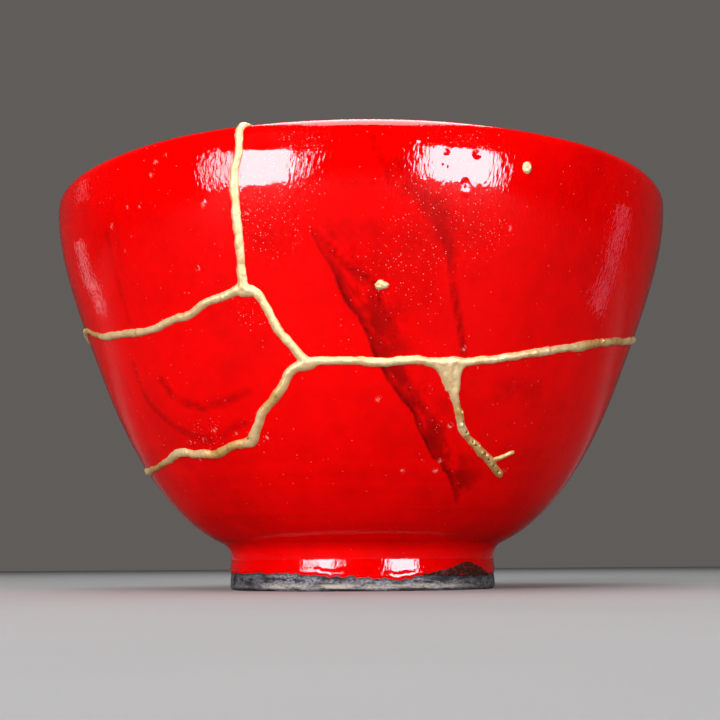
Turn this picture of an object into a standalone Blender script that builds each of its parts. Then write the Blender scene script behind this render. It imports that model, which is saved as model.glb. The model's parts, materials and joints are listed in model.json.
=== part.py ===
"""A tea bowl thrown in raku clay, glazed red, broken and mended with raised gold seams.

Units are metres, +Z is up, and the bowl stands on its foot ring at z = 0 with its axis on Z.
The side that faces -Y is the front. The bowl is one turned wall, cut along the break lines into
the sherds it really broke into. The gold lies in the joints as one branching piece: a web through
the wall, with a raised bead along it outside and inside. Two small pits in the glaze have gold plugs.
"""

import math

import bmesh
import bpy
from mathutils import Matrix, Vector
from mathutils.geometry import interpolate_bezier

MM = 0.001

# The turned wall
BOWL_HEIGHT = 75.0 * MM
RIM_RADIUS = 60.0 * MM
LIP_THICKNESS = 4.4 * MM
BELLY_RADIUS = 50.5 * MM
BELLY_HEIGHT = 40.0 * MM
BELLY_SLOPE = math.radians(68.5)
BELLY_WALL = 5.4 * MM
UNDERSIDE_SLOPE = math.radians(24.0)
FLOOR_THICKNESS = 6.5 * MM

# The foot ring
FOOT_RADIUS = 25.6 * MM
FOOT_NECK_RADIUS = 25.3 * MM
FOOT_HEIGHT = 8.8 * MM
FOOT_FLARE = 1.9 * MM
RING_WIDTH = 7.0 * MM
RECESS_DEPTH = 5.0 * MM
RECESS_ROUND = 1.6 * MM
FOOT_EDGE = 0.8 * MM

# How finely the round forms are divided
TURN_STEPS = 60
LOWER_STEPS = 5
UPPER_STEPS = 5
LIP_STEPS = 4
FILLET_STEPS = 3

# The joints and the gold in them
CLEARANCE = 0.3 * MM
JOINT_WIDTH = 1.0 * MM
BEAD_WIDTH = 1.75 * MM
BEAD_HEIGHT = 0.55 * MM
BEAD_SWELL = 0.14
LIP_LAP = 1.5 * MM
BUTTON_RADIUS = 1.25 * MM
BUTTON_HEIGHT = 0.62 * MM
BUTTON_SIDES = 8
CUTTER_REACH = 4.0 * MM
SPOT_RADIUS = 1.15 * MM
SPOT_HEIGHT = 0.5 * MM
SPOT_STEM_RADIUS = 0.55 * MM
SPOT_STEM_DEPTH = 1.3 * MM
SPOT_SIDES = 10

# The bead's section from foot over crown to foot, as shares of its width and height
BEAD_SECTION = [(-0.5, 0.0), (-0.37, 0.64), (0.0, 1.0), (0.37, 0.64), (0.5, 0.0)]

# Where the break lines meet: degrees round from the front, positive to the right as the front is
# seen, and the height as a share of the bowl's height
FRONT_FORK = (-20.6, 0.655)
MIDDLE_FORK = (-10.3, 0.493)
HAIRLINE_FORK = (16.7, 0.495)
TWIG_FORK = (32.1, 0.291)
BACK_FORK = (-136.0, 0.585)
LOW_BACK_FORK = (-161.0, 0.385)

# The break lines, each from one fork to the next or to its end. The two that reach the rim go on
# straight up from their last point
FRONT_RIM_BREAK = [
    FRONT_FORK, (-20.3, 0.71), (-20.1, 0.77), (-20.0, 0.84), (-19.6, 0.893), (-18.8, 0.936),
]
DIAGONAL_BREAK = [
    FRONT_FORK, (-18.1, 0.639), (-16.8, 0.612), (-15.8, 0.578), (-13.4, 0.537), MIDDLE_FORK,
]
UPPER_LEFT_BREAK = [
    FRONT_FORK, (-24.6, 0.64), (-28.8, 0.629), (-32.9, 0.612), (-37.3, 0.605), (-42.0, 0.595),
    (-48.0, 0.595), (-55.2, 0.604), (-61.5, 0.609), (-68.0, 0.628), (-76.0, 0.653), (-84.0, 0.66),
    (-93.0, 0.646), (-102.0, 0.654), (-111.0, 0.632), (-119.0, 0.624), (-127.0, 0.601), BACK_FORK,
]
RIGHT_BREAK = [
    MIDDLE_FORK, (-8.0, 0.496), (-2.5, 0.495), (3.5, 0.492), (10.0, 0.497), HAIRLINE_FORK,
    (22.9, 0.501), (28.4, 0.511), (34.0, 0.524), (40.5, 0.54), (47.0, 0.555), (53.5, 0.572),
    (62.5, 0.591), (72.0, 0.61), (81.5, 0.632), (90.0, 0.646), (99.0, 0.64), (108.0, 0.616),
    (117.0, 0.602), (126.0, 0.572), (135.0, 0.556), (144.0, 0.53), (153.0, 0.502), (162.0, 0.486),
    (171.0, 0.452), (180.0, 0.432), (189.0, 0.408), (199.0, 0.385),
]
LOWER_LEFT_BREAK = [
    MIDDLE_FORK, (-13.4, 0.478), (-15.4, 0.449), (-17.8, 0.423), (-20.8, 0.397), (-22.8, 0.366),
    (-25.4, 0.334), (-29.5, 0.331), (-35.9, 0.314), (-41.8, 0.316), (-48.3, 0.324), (-55.5, 0.31),
    (-65.2, 0.3), (-74.5, 0.297), (-83.7, 0.303), (-93.0, 0.311), (-102.0, 0.302), (-112.0, 0.324),
    (-122.0, 0.331), (-132.0, 0.349), (-142.0, 0.346), (-152.0, 0.369), LOW_BACK_FORK,
]
BACK_RIM_BREAK = [
    BACK_FORK, (-137.6, 0.64), (-136.6, 0.705), (-138.8, 0.77), (-140.6, 0.84), (-141.0, 0.89),
    (-142.4, 0.936),
]
BACK_BREAK = [
    BACK_FORK, (-141.0, 0.545), (-147.0, 0.512), (-151.5, 0.462), (-157.5, 0.428), LOW_BACK_FORK,
]
HAIRLINE_BREAK = [
    HAIRLINE_FORK, (17.6, 0.46), (18.9, 0.425), (20.8, 0.388), (21.9, 0.362), (27.0, 0.321),
    TWIG_FORK, (37.6, 0.26),
]
TWIG_LINE = [TWIG_FORK, (35.3, 0.304), (38.3, 0.315)]

LONG_BREAKS = [DIAGONAL_BREAK, UPPER_LEFT_BREAK, RIGHT_BREAK, LOWER_LEFT_BREAK, BACK_BREAK, HAIRLINE_BREAK]
FORKS = [FRONT_FORK, MIDDLE_FORK, HAIRLINE_FORK, TWIG_FORK, BACK_FORK, LOW_BACK_FORK]
GOLD_SPOTS = {"gold_spot_upper": (27.0, 0.909), "gold_spot_lower": (3.5, 0.648)}

# A place well inside each sherd, by which a loose piece gets its name
SHERD_PLACES = {
    "rim_sherd_left": (-80.0, 0.82),
    "rim_sherd_right": (60.0, 0.82),
    "side_sherd": (-60.0, 0.45),
    "foot_sherd": (0.0, 0.25),
}

# Values that follow from the sizes above
LIP_RADIUS = LIP_THICKNESS / 2
LIP_CENTRE = (RIM_RADIUS - LIP_RADIUS, BOWL_HEIGHT - LIP_RADIUS)
FOOT_CORNER = (FOOT_NECK_RADIUS + FOOT_FLARE, FOOT_HEIGHT)
FLOOR_HEIGHT = RECESS_DEPTH + FLOOR_THICKNESS
WEB_WIDTH = JOINT_WIDTH - 2 * CLEARANCE
LIP_SHARE = LIP_CENTRE[1] / BOWL_HEIGHT
RIM_BREAKS = [line + [(line[-1][0], LIP_SHARE)] for line in (FRONT_RIM_BREAK, BACK_RIM_BREAK)]
BREAK_FOCUS = Vector((0.0, 0.8 * BOWL_HEIGHT))


def curved(start, start_handle, end_handle, end, steps):
    """Points along one Bezier stretch of the half section, without the first."""
    knots = [Vector((p[0], p[1], 0.0)) for p in (start, start_handle, end_handle, end)]
    return [(p.x, p.y) for p in interpolate_bezier(*knots, steps + 1)][1:]


def along(point, angle, length):
    """The point that lies a length away from another at an angle above the horizontal."""
    return (point[0] + length * math.cos(angle), point[1] + length * math.sin(angle))


def outside_outline():
    """The wall's outer side as (radius, height), from the corner above the foot up to the lip."""
    belly = (BELLY_RADIUS, BELLY_HEIGHT)
    lip = (RIM_RADIUS, LIP_CENTRE[1])
    rise_low = BELLY_HEIGHT - FOOT_HEIGHT
    rise_high = lip[1] - BELLY_HEIGHT
    points = [FOOT_CORNER]
    points += curved(FOOT_CORNER, along(FOOT_CORNER, UNDERSIDE_SLOPE, 0.4 * rise_low),
                     along(belly, BELLY_SLOPE, -0.37 * rise_low), belly, LOWER_STEPS)
    points += curved(belly, along(belly, BELLY_SLOPE, 0.34 * rise_high),
                     (lip[0], lip[1] - 0.3 * rise_high), lip, UPPER_STEPS)
    return points


def inside_outline():
    """The wall's inner side as (radius, height), from the middle of the floor up to the lip."""
    floor = (0.0, FLOOR_HEIGHT)
    belly = along((BELLY_RADIUS, BELLY_HEIGHT), BELLY_SLOPE + math.pi / 2, BELLY_WALL)
    lip = (RIM_RADIUS - LIP_THICKNESS, LIP_CENTRE[1])
    rise_low = belly[1] - FLOOR_HEIGHT
    rise_high = lip[1] - belly[1]
    points = [floor]
    points += curved(floor, (0.7 * belly[0], FLOOR_HEIGHT),
                     along(belly, BELLY_SLOPE, -0.66 * rise_low), belly, LOWER_STEPS)
    points += curved(belly, along(belly, BELLY_SLOPE, 0.34 * rise_high),
                     (lip[0], lip[1] - 0.3 * rise_high), lip, UPPER_STEPS)
    return points


def lip_outline():
    """The rounded lip, from its inner side over the top to its outer side, ends left out."""
    angles = [math.pi * (1 - k / LIP_STEPS) for k in range(1, LIP_STEPS)]
    return [along(LIP_CENTRE, angle, LIP_RADIUS) for angle in angles]


def foot_outline():
    """The foot ring, from below the outer corner down, under and up to the middle of the recess."""
    neck = (FOOT_NECK_RADIUS, FOOT_HEIGHT - FOOT_FLARE)
    back_handle = along(FOOT_CORNER, UNDERSIDE_SLOPE, -0.6 * FOOT_FLARE)
    flare = curved(FOOT_CORNER, back_handle, (neck[0], neck[1] + 0.6 * FOOT_FLARE), neck, FILLET_STEPS)
    inner = FOOT_RADIUS - RING_WIDTH
    return flare + [
        (FOOT_RADIUS, FOOT_EDGE),
        (FOOT_RADIUS - FOOT_EDGE, 0.0),
        (inner + FOOT_EDGE, 0.0),
        (inner, FOOT_EDGE),
        (inner - 0.4 * RECESS_ROUND, RECESS_DEPTH - RECESS_ROUND),
        (inner - 1.4 * RECESS_ROUND, RECESS_DEPTH),
        (0.0, RECESS_DEPTH),
    ]


OUTSIDE = outside_outline()
INSIDE = inside_outline()

# The sides that breaks are measured on go on straight up beside the lip
OUTER_SIDE = OUTSIDE + [(RIM_RADIUS, BOWL_HEIGHT)]
INNER_SIDE = INSIDE + [(RIM_RADIUS - LIP_THICKNESS, BOWL_HEIGHT)]


def new_object(name, mesh, collection):
    obj = bpy.data.objects.new(name, mesh)
    collection.objects.link(obj)
    return obj


def mesh_of(name, bm):
    mesh = bpy.data.meshes.new(name)
    bm.to_mesh(mesh)
    bm.free()
    return mesh


def turned(name, outline, collection, steps=TURN_STEPS):
    """A solid turned about Z from a half section that runs down its outer side."""
    bm = bmesh.new()
    verts = [bm.verts.new((radius, 0.0, height)) for radius, height in outline]
    for a, b in zip(verts, verts[1:]):
        bm.edges.new((a, b))
    obj = new_object(name, mesh_of(name, bm), collection)
    screw = obj.modifiers.new("turn", "SCREW")
    screw.axis = "Z"
    screw.steps = screw.render_steps = steps
    screw.use_merge_vertices = True
    screw.merge_threshold = 0.01 * MM
    return obj


def applied(obj):
    """Swaps the object's mesh for the one that its modifiers make."""
    bpy.context.view_layer.update()
    graph = bpy.context.evaluated_depsgraph_get()
    mesh = bpy.data.meshes.new_from_object(obj.evaluated_get(graph))
    obj.modifiers.clear()
    obj.data = mesh
    return obj


def combined(obj, others, operation):
    """Joins a collection of solids to the object, or cuts them from it."""
    boolean = obj.modifiers.new("joined", "BOOLEAN")
    boolean.operation = operation
    boolean.solver = "EXACT"
    boolean.operand_type = "COLLECTION"
    boolean.collection = others
    return applied(obj)


def as_helper(obj):
    obj.hide_render = True
    obj.display_type = "WIRE"
    return obj


def in_space(degrees, flat):
    """A (radius, height) of the half section, turned to its place round the bowl."""
    angle = math.radians(degrees)
    return Vector((flat[0] * math.sin(angle), -flat[0] * math.cos(angle), flat[1]))


def across_outline(outline, start, way):
    """Where a line in the half section first meets an outline, and the outline's direction there."""
    best = None
    for a, b in zip(outline, outline[1:]):
        a, b = Vector(a), Vector(b)
        side = b - a
        cross = way.x * side.y - way.y * side.x
        if abs(cross) < 1e-12:
            continue
        gap = a - start
        reach = (gap.x * side.y - gap.y * side.x) / cross
        share = (gap.x * way.y - gap.y * way.x) / cross
        if reach > 0 and -1e-6 <= share <= 1 + 1e-6 and (best is None or reach < best[0]):
            best = (reach, start + way * reach, side.normalized())
    return best[1], best[2]


def on_outside(share):
    """The outer side at a height, given as a share of the bowl's height, and the direction up it."""
    start = Vector((0.0, share * BOWL_HEIGHT))
    return across_outline(OUTER_SIDE, start, Vector((1.0, 0.0)))


def wall_at(place):
    """Outer point, outer normal, inner point and inner normal where a break crosses the wall.
    The breaks run square to the wall, towards one focus on the axis."""
    degrees, share = place
    outer, outer_up = on_outside(share)
    inner, inner_up = across_outline(INNER_SIDE, BREAK_FOCUS, (outer - BREAK_FOCUS).normalized())
    outer_normal = Vector((outer_up.y, -outer_up.x))
    inner_normal = Vector((-inner_up.y, inner_up.x))
    return [in_space(degrees, flat) for flat in (outer, outer_normal, inner, inner_normal)]


def directions(points):
    """The line's direction at each of its points."""
    last = len(points) - 1
    return [(points[min(k + 1, last)] - points[max(k - 1, 0)]).normalized() for k in range(last + 1)]


def bead_ring(point, normal, across, width, height):
    base = point + normal * CLEARANCE
    return [base + across * (x * width) + normal * (y * height) for x, y in BEAD_SECTION]


def web_ends(point, normal, across):
    return [point + normal * CLEARANCE + across * (side * WEB_WIDTH / 2) for side in (1, -1)]


def lofted(name, rings, end_faces, collection):
    """A closed solid through rings of as many points each, with its ends closed by the faces named."""
    bm = bmesh.new()
    rows = [[bm.verts.new(point) for point in ring] for ring in rings]
    count = len(rows[0])
    for low, high in zip(rows, rows[1:]):
        for k in range(count):
            bm.faces.new((low[k], low[(k + 1) % count], high[(k + 1) % count], high[k]))
    for row in (rows[0], rows[-1]):
        for face in end_faces:
            bm.faces.new([row[k] for k in face])
    bmesh.ops.triangulate(bm, faces=bm.faces)
    bmesh.ops.recalc_face_normals(bm, faces=bm.faces)
    return new_object(name, mesh_of(name, bm), collection)


def past_end(k, last, way, length):
    """How far a seam's or joint's end ring moves on past its fork."""
    if k == 0:
        return -way * length
    return way * length if k == last else way * 0.0


def swell(k):
    """The bead's width and height waver along the line, as gold laid by brush does."""
    return 1 + BEAD_SWELL * math.sin(2.3 * k + 0.7) * math.cos(0.9 * k)


def through_seam(name, line, collection):
    """Gold along one break: outer bead, web through the wall and inner bead, as one loft."""
    places = [wall_at(place) for place in line]
    rings = []
    for k, (frame, way) in enumerate(zip(places, directions([p[0] for p in places]))):
        outer, outer_normal, inner, inner_normal = frame
        across = way.cross(outer_normal).normalized()
        slide = past_end(k, len(places) - 1, way, WEB_WIDTH / 4)
        outer, inner = outer + slide, inner + slide
        width, height = BEAD_WIDTH * swell(k), BEAD_HEIGHT * swell(k)
        ring = bead_ring(outer, outer_normal, across, width, height)
        ring += web_ends(outer, outer_normal, across)[:1] + web_ends(inner, inner_normal, across)[:1]
        ring += bead_ring(inner, inner_normal, across, width, height)[::-1]
        ring += web_ends(inner, inner_normal, across)[1:] + web_ends(outer, outer_normal, across)[1:]
        rings.append(ring)
    bead_out, web, bead_in = [0, 1, 2, 3, 4, 5, 13], [5, 6, 12, 13], [6, 7, 8, 9, 10, 11, 12]
    return lofted(name, rings, [bead_out, web, bead_in], collection)


def lip_seam(name, line, collection):
    """Gold over the lip at the top of a rim break: a bead with a short web under it."""
    degrees = line[-1][0]
    way_out = in_space(degrees, (1.0, 0.0))
    across = way_out.cross(Vector((0.0, 0.0, 1.0))).normalized()
    centre = in_space(degrees, LIP_CENTRE)
    frames = []
    for flat_line, side in ((OUTSIDE, 1), (INSIDE, -1)):
        start = Vector((0.0, LIP_CENTRE[1] - LIP_LAP))
        flat, up = across_outline(flat_line, start, Vector((1.0, 0.0)))
        frames.append((in_space(degrees, flat), in_space(degrees, (side * up.y, -side * up.x))))
    arc = []
    for k in range(LIP_STEPS + 1):
        angle = math.pi * k / LIP_STEPS
        normal = (way_out * math.cos(angle) + Vector((0.0, 0.0, math.sin(angle)))).normalized()
        arc.append((centre + normal * LIP_RADIUS, normal))
    rings = []
    for k, (point, normal) in enumerate([frames[0], *arc, frames[1]]):
        ring = bead_ring(point, normal, across, BEAD_WIDTH * swell(k), BEAD_HEIGHT * swell(k))
        right, left = web_ends(point, normal, across)
        depth = normal * (CLEARANCE + 0.75 * LIP_RADIUS)
        rings.append(ring + [right, right - depth, left - depth, left])
    return lofted(name, rings, [[0, 1, 2, 3, 4, 5, 8], [5, 6, 7, 8]], collection)


def surface_seam(name, line, collection):
    """Gold along a fine crack that doesn't go through: the outer bead alone."""
    places = [wall_at(place) for place in line]
    rings = []
    for k, (frame, way) in enumerate(zip(places, directions([p[0] for p in places]))):
        outer, normal = frame[:2]
        across = way.cross(normal).normalized()
        taper = 0.75 - 0.25 * k / (len(line) - 1)
        rings.append(bead_ring(outer, normal, across, BEAD_WIDTH * taper, BEAD_HEIGHT * taper))
    return lofted(name, rings, [[0, 1, 2, 3, 4]], collection)


def fork_button(name, point, normal, collection):
    """The low mound of gold where beads meet, its base a hair under theirs."""
    bm = bmesh.new()
    bmesh.ops.create_cone(
        bm, cap_ends=True, segments=BUTTON_SIDES, depth=BUTTON_HEIGHT,
        radius1=BUTTON_RADIUS, radius2=0.45 * BUTTON_RADIUS,
    )
    obj = new_object(name, mesh_of(name, bm), collection)
    obj.rotation_mode = "QUATERNION"
    obj.rotation_quaternion = normal.to_track_quat("Z", "X")
    obj.location = point + normal * (0.87 * CLEARANCE + BUTTON_HEIGHT / 2)
    return obj


def joint_cutter(name, line, collection, over_rim=False):
    """A thin curved slab along a break that parts the sherds on its two sides."""
    rows = []
    for place in line:
        outer, _, inner, _ = wall_at(place)
        ray = (outer - inner).normalized()
        rows.append((inner - ray * CUTTER_REACH, outer + ray * CUTTER_REACH))
    ways = directions([row[1] for row in rows])
    for k, way in enumerate(ways):
        slide = past_end(k, len(rows) - 1, way, CLEARANCE + WEB_WIDTH / 4)
        rows[k] = (rows[k][0] + slide, rows[k][1] + slide)
    if over_rim:
        clear = Vector((0.0, 0.0, LIP_RADIUS + CUTTER_REACH))
        rows.append((rows[-1][0] + clear, rows[-1][1] + clear))
    bm = bmesh.new()
    grid = [[bm.verts.new(point) for point in row] for row in rows]
    for low, high in zip(grid, grid[1:]):
        bm.faces.new((low[0], low[1], high[1], high[0]))
    obj = as_helper(new_object(name, mesh_of(name, bm), collection))
    solid = obj.modifiers.new("joint", "SOLIDIFY")
    solid.thickness = JOINT_WIDTH
    solid.offset = 0.0
    solid.use_even_offset = True
    return obj


def spot_outline():
    """Half section of a gold plug: a low cap on a stem."""
    cap = [(0.0, CLEARANCE + SPOT_HEIGHT), (0.5 * SPOT_RADIUS, CLEARANCE + 0.9 * SPOT_HEIGHT),
           (0.87 * SPOT_RADIUS, CLEARANCE + 0.55 * SPOT_HEIGHT), (SPOT_RADIUS, CLEARANCE)]
    stem = [(SPOT_STEM_RADIUS, CLEARANCE), (SPOT_STEM_RADIUS, -SPOT_STEM_DEPTH), (0.0, -SPOT_STEM_DEPTH)]
    return cap + stem


def pit_outline():
    """Half section of the pit that a plug sits in, drawn past the wall's surface."""
    radius, depth = SPOT_STEM_RADIUS + CLEARANCE, SPOT_STEM_DEPTH + CLEARANCE
    return [(0.0, 2 * CLEARANCE), (radius, 2 * CLEARANCE), (radius, -depth), (0.0, -depth)]


def set_on_wall(obj, place):
    """Turns an object's Z along the wall's outer normal at a place and sets it there."""
    outer, normal = wall_at(place)[:2]
    turn = normal.to_track_quat("Z", "X").to_matrix().to_4x4()
    obj.data.transform(Matrix.Translation(outer) @ turn)
    return obj


def loose_pieces(obj):
    """The separate bodies of a mesh, each as its own mesh."""
    bm = bmesh.new()
    bm.from_mesh(obj.data)
    left = set(bm.verts)
    groups = []
    while left:
        group, edge = set(), [left.pop()]
        while edge:
            vert = edge.pop()
            group.add(vert)
            for other in (e.other_vert(vert) for e in vert.link_edges):
                if other in left:
                    left.discard(other)
                    edge.append(other)
        groups.append({v.index for v in group})
    bm.free()
    meshes = []
    for group in groups:
        bm = bmesh.new()
        bm.from_mesh(obj.data)
        bm.verts.ensure_lookup_table()
        bmesh.ops.delete(bm, geom=[v for v in bm.verts if v.index not in group], context="VERTS")
        meshes.append(mesh_of("sherd", bm))
    return meshes


def distance_to(mesh, point):
    """The shortest way from a point to a mesh's vertices."""
    return min((v.co - point).length for v in mesh.vertices)


def material(name, colour, roughness, metallic):
    made = bpy.data.materials.new(name)
    made.use_nodes = True
    shader = made.node_tree.nodes["Principled BSDF"]
    shader.inputs["Base Color"].default_value = (*colour, 1.0)
    shader.inputs["Roughness"].default_value = roughness
    shader.inputs["Metallic"].default_value = metallic
    return made


def finish(obj, made):
    obj.data.materials.clear()
    obj.data.materials.append(made)
    obj.data.shade_smooth()
    obj.data.set_sharp_from_angle(angle=math.radians(40))
    return obj


def build_sherds(parts, cutters):
    """The turned bowl, parted along its breaks."""
    outline = INSIDE + lip_outline() + OUTSIDE[::-1] + foot_outline()
    bowl = applied(turned("bowl", outline, parts))
    for k, line in enumerate(LONG_BREAKS):
        joint_cutter(f"joint_{k}", line, cutters)
    for k, line in enumerate(RIM_BREAKS):
        joint_cutter(f"rim_joint_{k}", line, cutters, over_rim=True)
    for name, place in GOLD_SPOTS.items():
        pit = applied(turned(f"pit_of_{name}", pit_outline(), cutters, SPOT_SIDES))
        as_helper(set_on_wall(pit, place))
    combined(bowl, cutters, "DIFFERENCE")
    meshes = loose_pieces(bowl)
    bpy.data.objects.remove(bowl)
    glaze = material("red_glaze", (0.62, 0.006, 0.004), 0.12, 0.0)
    for name, place in SHERD_PLACES.items():
        inside_wall = wall_at(place)[0]
        mesh = min(meshes, key=lambda m: distance_to(m, inside_wall))
        finish(new_object(name, mesh, parts), glaze)


def build_gold(parts, branches):
    """The branching gold in the joints, as one piece, and the two plugs."""
    seams = through_seam("gold_seams", LONG_BREAKS[0], parts)
    for k, line in enumerate(LONG_BREAKS[1:] + RIM_BREAKS):
        through_seam(f"seam_{k}", line, branches)
    for k, line in enumerate(RIM_BREAKS):
        lip_seam(f"lip_seam_{k}", line, branches)
    surface_seam("twig", TWIG_LINE, branches)
    for k, place in enumerate(FORKS):
        outer, outer_normal, inner, inner_normal = wall_at(place)
        fork_button(f"button_out_{k}", outer, outer_normal, branches)
        if place is not TWIG_FORK:
            fork_button(f"button_in_{k}", inner, inner_normal, branches)
    combined(seams, branches, "UNION")
    for branch in list(branches.objects):
        bpy.data.objects.remove(branch)
    gold = material("gold", (0.66, 0.47, 0.2), 0.38, 1.0)
    finish(seams, gold)
    for name, place in GOLD_SPOTS.items():
        finish(set_on_wall(applied(turned(name, spot_outline(), parts, SPOT_SIDES)), place), gold)


def main():
    for obj in list(bpy.data.objects):
        bpy.data.objects.remove(obj)
    names = ("mended_bowl", "cutters", "branches")
    parts, cutters, branches = [bpy.data.collections.new(name) for name in names]
    for collection in (parts, cutters, branches):
        bpy.context.scene.collection.children.link(collection)
    build_sherds(parts, cutters)
    build_gold(parts, branches)
    bpy.data.collections.remove(branches)


main()
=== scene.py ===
# A red raku tea bowl, broken and mended with raised gold seams.
# Lengths are metres. The bowl stands on its foot at z = 0, its axis on Z, its front towards -Y.

import json
import math

import bpy
import numpy as np
from mathutils import Matrix, Vector, noise

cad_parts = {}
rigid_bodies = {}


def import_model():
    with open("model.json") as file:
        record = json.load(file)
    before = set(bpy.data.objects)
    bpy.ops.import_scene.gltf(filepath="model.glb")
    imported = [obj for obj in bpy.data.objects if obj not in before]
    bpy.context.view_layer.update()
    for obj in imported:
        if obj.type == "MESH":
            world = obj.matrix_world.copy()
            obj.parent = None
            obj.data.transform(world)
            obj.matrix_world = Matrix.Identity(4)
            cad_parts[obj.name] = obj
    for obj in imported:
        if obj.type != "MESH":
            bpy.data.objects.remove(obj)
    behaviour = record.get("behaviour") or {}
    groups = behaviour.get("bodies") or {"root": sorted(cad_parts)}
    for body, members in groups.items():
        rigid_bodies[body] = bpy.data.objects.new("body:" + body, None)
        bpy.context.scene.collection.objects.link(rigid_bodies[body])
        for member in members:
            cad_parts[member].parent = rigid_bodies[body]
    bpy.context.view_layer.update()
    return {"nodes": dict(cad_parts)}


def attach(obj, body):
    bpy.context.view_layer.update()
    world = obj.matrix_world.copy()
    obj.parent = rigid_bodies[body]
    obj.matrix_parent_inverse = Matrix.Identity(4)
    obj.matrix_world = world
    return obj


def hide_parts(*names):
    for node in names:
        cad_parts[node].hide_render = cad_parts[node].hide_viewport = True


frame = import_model()
mm = 0.001


# Small helpers for selecting, modifiers and vertex moves

def deselectAll():
    if bpy.context.object and bpy.context.object.mode != "OBJECT":
        bpy.ops.object.mode_set(mode="OBJECT")
    bpy.ops.object.select_all(action="DESELECT")


def makeActive(*objs):
    deselectAll()
    for obj in objs:
        obj.select_set(True)
    bpy.context.view_layer.objects.active = objs[0]
    return objs[0]


def applyModifier(obj, kind, **settings):
    makeActive(obj)
    modifier = obj.modifiers.new(kind.lower(), kind)
    for name, value in settings.items():
        setattr(modifier, name, value)
    bpy.ops.object.modifier_apply(modifier=modifier.name)
    return obj


def joinAll(name, objs):
    made = makeActive(*objs)
    if len(objs) > 1:
        bpy.ops.object.join()
    made.name = made.data.name = name
    return made


def readPoints(obj):
    flat = np.empty(len(obj.data.vertices) * 3)
    obj.data.vertices.foreach_get("co", flat)
    return flat.reshape(-1, 3)


def writePoints(obj, points):
    obj.data.vertices.foreach_set("co", np.asarray(points, dtype=np.float32).ravel())
    obj.data.update()


def writeField(obj, name, values):
    field = obj.data.attributes.new(name, "FLOAT", "POINT")
    field.data.foreach_set("value", np.asarray(values, dtype=np.float32))


def smoothStep(low, high, values):
    t = np.clip((values - low) / (high - low), 0.0, 1.0)
    return t * t * (3 - 2 * t)


# The wall's half section, as the CAD part has it

bowl = {
    "height": 75.0 * mm,
    "rimRadius": 60.0 * mm,
    "lipThickness": 4.4 * mm,
    "bellyRadius": 50.5 * mm,
    "bellyHeight": 40.0 * mm,
    "bellySlope": math.radians(68.5),
    "bellyWall": 5.4 * mm,
    "undersideSlope": math.radians(24.0),
    "floorHeight": 11.5 * mm,
    "turnSteps": 340,
    "lowerRows": 42,
    "upperRows": 36,
    "lipRows": 14,
    "insideRows": 70,
}

foot = {
    "radius": 25.6 * mm,
    "neckRadius": 25.3 * mm,
    "height": 8.8 * mm,
    "flare": 1.9 * mm,
    "sweep": 3.3 * mm,
    "ringWidth": 7.0 * mm,
    "recessDepth": 5.0 * mm,
    "recessRound": 1.6 * mm,
    "edge": 0.8 * mm,
    "rowGap": 0.24 * mm,
}


def bezier(start, startHandle, endHandle, end, steps):
    t = np.linspace(0, 1, steps + 1)[1:, None]
    a, b, c, d = [np.array(p)[None, :] for p in (start, startHandle, endHandle, end)]
    points = (1 - t) ** 3 * a + 3 * (1 - t) ** 2 * t * b + 3 * (1 - t) * t ** 2 * c + t ** 3 * d
    return [tuple(p) for p in points]


def along(point, angle, length):
    return (point[0] + length * math.cos(angle), point[1] + length * math.sin(angle))


def outsideLine():
    belly = (bowl["bellyRadius"], bowl["bellyHeight"])
    lipRadius = bowl["lipThickness"] / 2
    lip = (bowl["rimRadius"], bowl["height"] - lipRadius)
    corner = (foot["neckRadius"] + foot["flare"], foot["height"])
    low, high = belly[1] - corner[1], lip[1] - belly[1]
    points = [corner]
    points += bezier(corner, along(corner, bowl["undersideSlope"], 0.4 * low),
                     along(belly, bowl["bellySlope"], -0.37 * low), belly, bowl["lowerRows"])
    points += bezier(belly, along(belly, bowl["bellySlope"], 0.34 * high),
                     (lip[0], lip[1] - 0.3 * high), lip, bowl["upperRows"])
    return points


def insideLine():
    floor = (0.0, bowl["floorHeight"])
    belly = along((bowl["bellyRadius"], bowl["bellyHeight"]), bowl["bellySlope"] + math.pi / 2, bowl["bellyWall"])
    lip = (bowl["rimRadius"] - bowl["lipThickness"], bowl["height"] - bowl["lipThickness"] / 2)
    low, high = belly[1] - floor[1], lip[1] - belly[1]
    share = int(bowl["insideRows"] * 0.62)
    points = [floor]
    points += bezier(floor, (0.7 * belly[0], floor[1]),
                     along(belly, bowl["bellySlope"], -0.66 * low), belly, share)
    points += bezier(belly, along(belly, bowl["bellySlope"], 0.34 * high),
                     (lip[0], lip[1] - 0.3 * high), lip, bowl["insideRows"] - share)
    return points


def lipLine():
    radius = bowl["lipThickness"] / 2
    centre = (bowl["rimRadius"] - radius, bowl["height"] - radius)
    rows = bowl["lipRows"]
    return [along(centre, math.pi * (1 - k / rows), radius) for k in range(1, rows)]


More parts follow.
